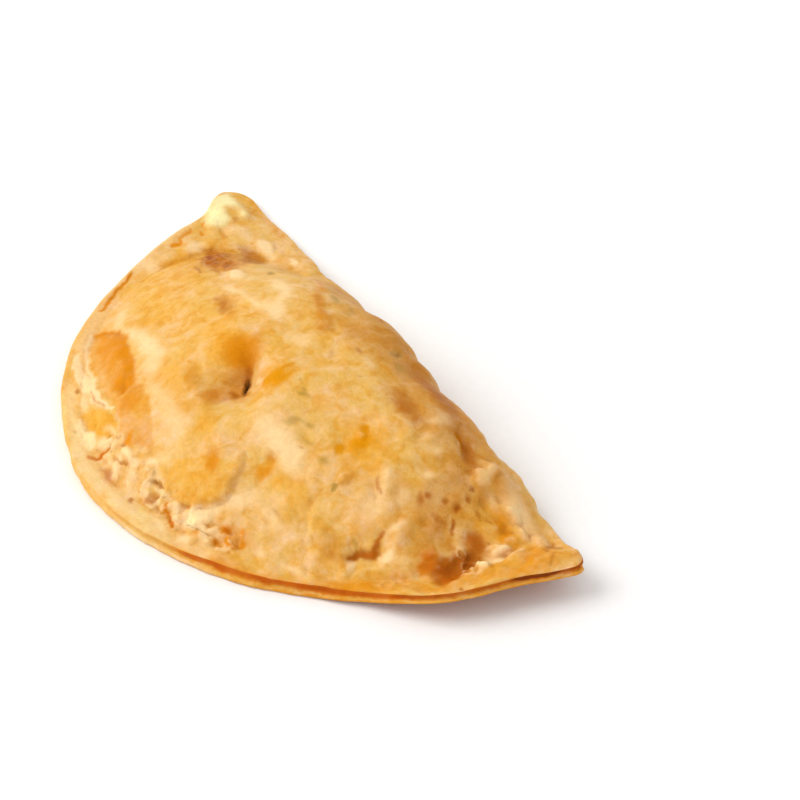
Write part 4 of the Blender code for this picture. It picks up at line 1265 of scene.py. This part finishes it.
class Board:
    """Adds nodes to a tree and joins them."""

    def __init__(self, tree):
        self.tree = tree

    def add(self, kind, inputs=None, **settings):
        """A node of a kind, with its settings and what its inputs are fed."""
        node = self.tree.nodes.new(kind)
        for name, value in settings.items():
            setattr(node, name, value)
        for name, value in (inputs or {}).items():
            self.feed(node.inputs[name], value)
        return node

    def feed(self, socket, value):
        """Link a socket to the value, or set it."""
        if isinstance(value, bpy.types.NodeSocket):
            self.tree.links.new(value, socket)
        else:
            socket.default_value = value

    def math(self, operation, first, second=0.0, third=0.0):
        """The result of a calculation on up to three values."""
        node = self.add("ShaderNodeMath", operation=operation)
        for socket, value in zip(node.inputs, (first, second, third)):
            self.feed(socket, value)
        return node.outputs[0]

    def ease(self, value, low, high, to_low=0.0, to_high=1.0):
        """A smooth step of the value from low to high."""
        node = self.add("ShaderNodeMapRange", interpolation_type="SMOOTHSTEP")
        for name, number in (
            ("Value", value), ("From Min", low), ("From Max", high), ("To Min", to_low), ("To Max", to_high),
        ):
            self.feed(node.inputs[name], number)
        return node.outputs["Result"]

    def blend(self, share, first, second, blend_type="MIX"):
        """Mix two colours, or two by a blend type, by the share."""
        node = self.add("ShaderNodeMix", data_type="RGBA", blend_type=blend_type)
        for index, value in zip(MIX_INPUTS, (share, first, second)):
            self.feed(node.inputs[index], value)
        return node.outputs[MIX_OUTPUT]

    def noise(self, place, size, detail=2.0, roughness=0.5, distortion=0.0):
        """Noise from 0 to 1 with lumps of a size in millimetres."""
        node = self.add("ShaderNodeTexNoise", noise_dimensions="3D")
        node.inputs["Scale"].default_value = 1.0 / (size * MM)
        node.inputs["Detail"].default_value = detail
        node.inputs["Roughness"].default_value = roughness
        node.inputs["Distortion"].default_value = distortion
        self.feed(node.inputs["Vector"], place)
        return node.outputs["Fac"]

    def tint(self, share, colour, tone):
        """The colour multiplied by a tone where the share is 1."""
        return self.blend(share, colour, (*tone, 1.0), "MULTIPLY")

    def attribute(self, name):
        """A value that the mesh keeps for every vertex."""
        return self.add("ShaderNodeAttribute", attribute_name=name).outputs["Fac"]


def new_material(name):
    """A material with its board and its shader."""
    material = bpy.data.materials.new(name)
    material.use_nodes = True
    return material, Board(material.node_tree), material.node_tree.nodes["Principled BSDF"]


# Lumps of the dough's colour: (size, detail, roughness, distortion).
LUMPS = {
    "broad": (11.0, 3.0, 0.6, 0.5),
    "blotch": (5.0, 4.0, 0.62, 0.6),
    "medium": (2.4, 3.0, 0.6, 0.4),
    "fine": (1.0, 3.0, 0.65),
    "speck": (0.45, 2.0, 0.6),
}
# What the lumps do to the colour: (lumps, where they start, where they end, tint).
LUMP_TINTS = (
    ("blotch", 0.49, 0.62, (0.96, 0.86, 0.56)),
    ("blotch", 0.5, 0.38, (1.02, 1.07, 1.4)),
    ("medium", 0.5, 0.7, (0.96, 0.89, 0.7)),
    ("medium", 0.48, 0.3, (1.02, 1.05, 1.25)),
)
# Tones in the order in which they are laid on: (tone, where its mask starts and ends, how far the
# grain breaks up its edge). The base tones lie under the tints: tan, which is partly painted shade along the
# fold, and golden.
BASE_TONES = (("tan", 0.0, 0.9, 0.5), ("golden", 0.0, 0.85, 0.6))
TONES = (
    ("olive", 0.1, 1.0, 0.6),
    ("cream", 0.0, 1.0, 0.4),
    ("amber", 0.0, 0.95, 0.5),
    ("oil", 0.0, 0.8, 0.4),
    ("toast", 0.05, 1.0, 0.5),
    ("rust", 0.0, 1.0, 0.4),
    ("butter", 0.0, 1.0, 0.3),
)
# The umber of pits and cracks lies over them all. It is also painted shade in the vent's slit and under the
# rim's lip.
DARK_PITS_AND_SHADE = ("umber", 0.1, 1.1, 0.4)
BROAD_STEP = (0.42, 0.58)
# Painted shade in hollows and painted highlight on humps: (tone, depth where it starts, depth where it ends,
# share).
HOLLOW_SHADE_AND_HUMP_LIGHT = (("toast", 0.04, 0.4, 0.5), ("cream", -0.04, -0.35, 0.4))
PORE_STEP = (0.56, 0.68)
PORE_SHARE = 0.7
# How light the lumps make the dough: (lumps, where they start, where they end, from, to).
LUMP_SHADES = (("fine", 0.25, 0.75, 0.94, 1.05), ("speck", 0.3, 0.7, 0.98, 1.02))
MATT = 0.5
OILY = 0.34
ROUGHNESS_GRAIN = 0.25
# How much of each kind of lump the fine pits are made of.
PIT_PARTS = {"fine": 0.6, "speck": 0.25, "medium": 0.8}
PIT_STRENGTH = 0.5
PIT_DEPTH = 0.3
DOUGH_FINISH = {
    "Subsurface Weight": 0.2,
    "Subsurface Radius": (1.0, 0.5, 0.2),
    "Subsurface Scale": 1.5 * MM,
    "Specular IOR Level": 0.05,
}


def dough_colour(board, lumps, colours):
    """The dough's colour: pale straw toasted from gold to brown, with herb shadows and oil, painted shade in
    hollows, cracks and the vent, and painted highlights on humps.
    """
    fine = lumps["fine"]
    drift = board.math("MULTIPLY_ADD", lumps["medium"], 0.75, board.math("MULTIPLY", fine, 0.25))
    drift = board.math("SUBTRACT", drift, 0.5)
    hollow = board.attribute("hollow")

    def lay(colour, tone, low, high, spread):
        """Lay a tone on, its mask's edge broken up by the grain."""
        loose = board.math("MULTIPLY_ADD", drift, spread, board.attribute(tone))
        return board.blend(board.ease(loose, low, high), colour, colours[tone])

    colour = board.blend(board.ease(lumps["broad"], *BROAD_STEP), colours["straw"], colours["peach"])
    for tone in BASE_TONES:
        colour = lay(colour, *tone)
    for name, low, high, tint in LUMP_TINTS:
        colour = board.tint(board.ease(lumps[name], low, high), colour, tint)
    for tone in TONES:
        colour = lay(colour, *tone)
    # Hollows get painted shade and humps a painted highlight.
    for tone, low, high, share in HOLLOW_SHADE_AND_HUMP_LIGHT:
        colour = board.blend(board.ease(hollow, low, high, 0.0, share), colour, colours[tone])
    pores = board.math("MULTIPLY", board.attribute("pores"), board.ease(fine, *PORE_STEP))
    colour = board.blend(board.math("MULTIPLY", pores, PORE_SHARE), colour, colours["umber"])
    colour = lay(colour, *DARK_PITS_AND_SHADE)
    # The painted shadow inside the vent's slit.
    colour = board.blend(board.attribute("burnt"), colour, colours["burnt"])
    colour = board.blend(board.attribute("underside"), colour, colours["toast"])
    shades = [board.ease(lumps[name], *steps) for name, *steps in LUMP_SHADES]
    shaded = board.add("ShaderNodeVectorMath", {"Scale": board.math("MULTIPLY", *shades)}, operation="SCALE")
    board.feed(shaded.inputs[0], colour)
    return shaded.outputs[0]


def dough_material(colours):
    """Baked dough, oily on its blisters and finely pitted all over."""
    material, board, shader = new_material("baked_dough")
    place = board.add("ShaderNodeTexCoord").outputs["Object"]
    lumps = {name: board.noise(place, *values) for name, values in LUMPS.items()}
    board.feed(shader.inputs["Base Color"], dough_colour(board, lumps, colours))

    gloss = board.math("MAXIMUM", board.attribute("amber"), board.attribute("oil"))
    roughness = board.ease(gloss, 0.0, 1.0, MATT, OILY)
    grainy = board.math("SUBTRACT", lumps["fine"], 0.5)
    board.feed(shader.inputs["Roughness"], board.math("MULTIPLY_ADD", grainy, ROUGHNESS_GRAIN, roughness))

    pits = 0.0
    for name, part in PIT_PARTS.items():
        pits = board.math("MULTIPLY_ADD", lumps[name], part, pits)
    bump = board.add("ShaderNodeBump", {"Strength": PIT_STRENGTH, "Distance": PIT_DEPTH * MM, "Height": pits})
    board.feed(shader.inputs["Normal"], bump.outputs["Normal"])
    for name, value in DOUGH_FINISH.items():
        shader.inputs[name].default_value = value
    return material


PAPER_TOOTH = 2.0
PAPER_STEP = (0.3, 0.7)
PAPER_SHADE = 0.985
PAPER_FINISH = {"Roughness": 0.9, "Specular IOR Level": 0.1}


def floor_material(colour):
    """Plain matt paper with a faint tooth."""
    material, board, shader = new_material("studio_paper")
    place = board.add("ShaderNodeTexCoord").outputs["Object"]
    tooth = board.ease(board.noise(place, PAPER_TOOTH), *PAPER_STEP)
    shaded = (*(PAPER_SHADE * part for part in colour[:3]), 1.0)
    board.feed(shader.inputs["Base Color"], board.blend(tooth, colour, shaded))
    for name, value in PAPER_FINISH.items():
        shader.inputs[name].default_value = value
    return material


# ---------------------------------------------------------------- settings
# The curve between the light of a screen and the numbers that stand for it.
SCREEN_OFFSET = 0.055
SCREEN_POWER = 2.4


def shade_property(name, description, red, green, blue):
    """A colour given as it shows on a screen, from 0 to 255."""
    linear = [
        ((part / 255.0 + SCREEN_OFFSET) / (1.0 + SCREEN_OFFSET)) ** SCREEN_POWER
        for part in (red, green, blue)
    ]
    return bpy.props.FloatVectorProperty(
        name=name, description=description, subtype="COLOR", size=4, min=0.0, max=1.0,
        default=(*linear, 1.0),
    )


class EmpanadaDough(bpy.types.PropertyGroup):
    """Colours of the baked dough."""

    straw: shade_property("Straw", "The palest plain skin", 223, 175, 92)
    peach: shade_property("Peach", "Plain skin with a warmer cast", 227, 179, 110)
    # Tan is partly browning and partly painted shade along the folded side.
    tan: shade_property("Tan", "Skin baked drier, along the fold", 200, 139, 60)
    golden: shade_property("Golden", "Evenly baked skin", 224, 162, 56)
    amber: shade_property("Amber", "Oily blisters and lips", 214, 132, 2)
    # Toast also paints shade: in hollows, in the crumbs' cracks, round the vent, along the fold, on the
    # blisters' shaded edges, and as a shadow along the foot of the rim's side.
    toast: shade_property("Toast", "Browned spots", 172, 95, 12)
    rust: shade_property("Rust", "Red-brown seam and orange scorches", 200, 96, 10)
    # Umber also paints shade in the vent's slit and in the seam under the rim's lip.
    umber: shade_property("Umber", "Pits and cracks", 132, 58, 8)
    # Cream also paints highlights: on humps, on some lumps and lips, and on the ledge of the rim's lower
    # layer.
    cream: shade_property("Cream", "Puffed pale dough", 241, 205, 150)
    # Butter also paints highlights on a few lumps at the tail, in front and by the nose.
    butter: shade_property("Butter", "The palest, yellowest dough", 246, 230, 168)
    olive: shade_property("Olive", "Herbs that show through", 176, 136, 60)
    oil: shade_property("Oil", "Spots where the filling's oil came through", 216, 141, 0)
    # A painted shadow: the dark inside of the steam vent's slit.
    burnt: shade_property("Burnt", "Inside of the steam vent", 44, 9, 2)


class EmpanadaStage(bpy.types.PropertyGroup):
    """Sizes and strengths of the studio."""

    floor_size: bpy.props.FloatProperty(
        name="Floor", description="Side of the floor", default=6.0, unit="LENGTH",
    )
    floor_colour: shade_property("Paper", "Colour of the floor", 250, 249, 248)
    key_power: bpy.props.FloatProperty(
        name="Key", description="Power of the main light", default=35.0, unit="POWER",
    )
    key_size: bpy.props.FloatProperty(
        name="Key size", description="Side of the main light", default=1.8, unit="LENGTH",
    )
    sky: bpy.props.FloatProperty(
        name="Sky", description="Strength of the even light from all round", default=0.8,
    )
    lens: bpy.props.FloatProperty(
        name="Lens", description="Focal length in millimetres", default=135.0,
    )


# ---------------------------------------------------------------- stage
# Targets and distances in millimetres; turns (0 is in front, -Y) and rises in degrees.
CAMERA_TARGET = (5.28, -1.63, 0.0)
CAMERA_TURN = 60.2
CAMERA_RISE = 39.6
CAMERA_DISTANCE = 687.0
KEY_TURN = -31.0
KEY_RISE = 46.0
KEY_DISTANCE = 2400.0
KEY_TARGET = (0.0, -36.0, 0.0)
KEY_COLOUR = (1.0, 0.985, 0.96)
WHITE = (1.0, 1.0, 1.0, 1.0)
SENSOR_WIDTH = 36.0
CLIP_START = 0.01


def scene_place(x, y, z):
    """A place in the disc's frame, in millimetres, as a place in the scene."""
    return Vector(((x + MIDDLE[0]) * MM, (y + MIDDLE[1]) * MM, z * MM))


def seen_from(turn, rise, distance, target):
    """A place in the scene at a turn, a rise and a distance from the target."""
    turn = math.radians(turn)
    rise = math.radians(rise)
    level = math.cos(rise) * distance
    return scene_place(
        target[0] + math.sin(turn) * level,
        target[1] - math.cos(turn) * level,
        target[2] + math.sin(rise) * distance,
    )


def aim(thing, target):
    """Turn a light or a camera to the target."""
    goal = scene_place(*target)
    thing.rotation_euler = (goal - thing.location).to_track_quat("-Z", "Y").to_euler()


def make_floor(settings):
    """A plain pale floor."""
    deselect_all()
    bpy.ops.mesh.primitive_plane_add(size=settings.floor_size, location=(0.0, 0.0, 0.0))
    floor = bpy.context.object
    bpy.ops.object.mode_set(mode="EDIT")
    bpy.ops.mesh.subdivide(number_cuts=3)
    bpy.ops.object.mode_set(mode="OBJECT")
    finish_piece(floor, "studio_floor", floor_material(tuple(settings.floor_colour)))


def make_lights(settings):
    """One soft main light, and even light from all round."""
    deselect_all()
    place = seen_from(KEY_TURN, KEY_RISE, KEY_DISTANCE, KEY_TARGET)
    bpy.ops.object.light_add(type="AREA", location=place)
    key = bpy.context.object
    key.name = "key_light"
    key.data.energy = settings.key_power
    key.data.size = settings.key_size
    key.data.color = KEY_COLOUR
    aim(key, KEY_TARGET)
    world = bpy.data.worlds.new("studio")
    world.use_nodes = True
    background = world.node_tree.nodes["Background"]
    background.inputs["Color"].default_value = WHITE
    background.inputs["Strength"].default_value = settings.sky
    bpy.context.scene.world = world


def make_camera(settings):
    """The camera that looks at the crust from above its nose end."""
    deselect_all()
    place = seen_from(CAMERA_TURN, CAMERA_RISE, CAMERA_DISTANCE, CAMERA_TARGET)
    bpy.ops.object.camera_add(location=place)
    camera = bpy.context.object
    camera.name = "studio_camera"
    camera.data.lens = settings.lens
    camera.data.sensor_width = SENSOR_WIDTH
    camera.data.clip_start = CLIP_START
    aim(camera, CAMERA_TARGET)
    scene = bpy.context.scene
    scene.camera = camera
    scene.view_settings.view_transform = "Standard"


# ---------------------------------------------------------------- add-on
def dough_colours(context):
    """The colours set in the sidebar, by tone."""
    dough = context.scene.empanada_dough
    return {name: tuple(getattr(dough, name)) for name in EmpanadaDough.__annotations__}


class EMPANADA_OT_crust(bpy.types.Operator):
    """Make the crust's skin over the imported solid"""

    bl_idname = "empanada.crust"
    bl_label = "Crust"

    def execute(self, context):
        make_crust(dough_colours(context))
        return {"FINISHED"}


class EMPANADA_OT_stage(bpy.types.Operator):
    """Make the floor, the lights and the camera"""

    bl_idname = "empanada.stage"
    bl_label = "Stage"

    def execute(self, context):
        settings = context.scene.empanada_stage
        make_floor(settings)
        make_lights(settings)
        make_camera(settings)
        return {"FINISHED"}


class EMPANADA_PT_panel(bpy.types.Panel):
    """Lists the pieces with their sizes and colours"""

    bl_idname = "EMPANADA_PT_panel"
    bl_label = "Empanada"
    bl_space_type = "VIEW_3D"
    bl_region_type = "UI"
    bl_category = "Empanada"

    def draw(self, context):
        layout = self.layout
        for settings in (context.scene.empanada_dough, context.scene.empanada_stage):
            column = layout.column()
            for name in settings.__annotations__:
                column.prop(settings, name)
        for operator in OPERATORS:
            layout.operator(operator.bl_idname)


OPERATORS = (EMPANADA_OT_crust, EMPANADA_OT_stage)
GROUPS = {"empanada_dough": EmpanadaDough, "empanada_stage": EmpanadaStage}


def register():
    """Make the settings, the operators and the panel known."""
    for group in (*GROUPS.values(), *OPERATORS, EMPANADA_PT_panel):
        bpy.utils.register_class(group)
    for name, group in GROUPS.items():
        setattr(bpy.types.Scene, name, bpy.props.PointerProperty(type=group))


def unregister():
    """Take them away again."""
    for name in GROUPS:
        delattr(bpy.types.Scene, name)
    for group in (EMPANADA_PT_panel, *OPERATORS, *GROUPS.values()):
        bpy.utils.unregister_class(group)


def main():
    """Make every piece and the stage."""
    register()
    bpy.ops.empanada.crust()
    bpy.ops.empanada.stage()


if __name__ == "__main__":
    main()
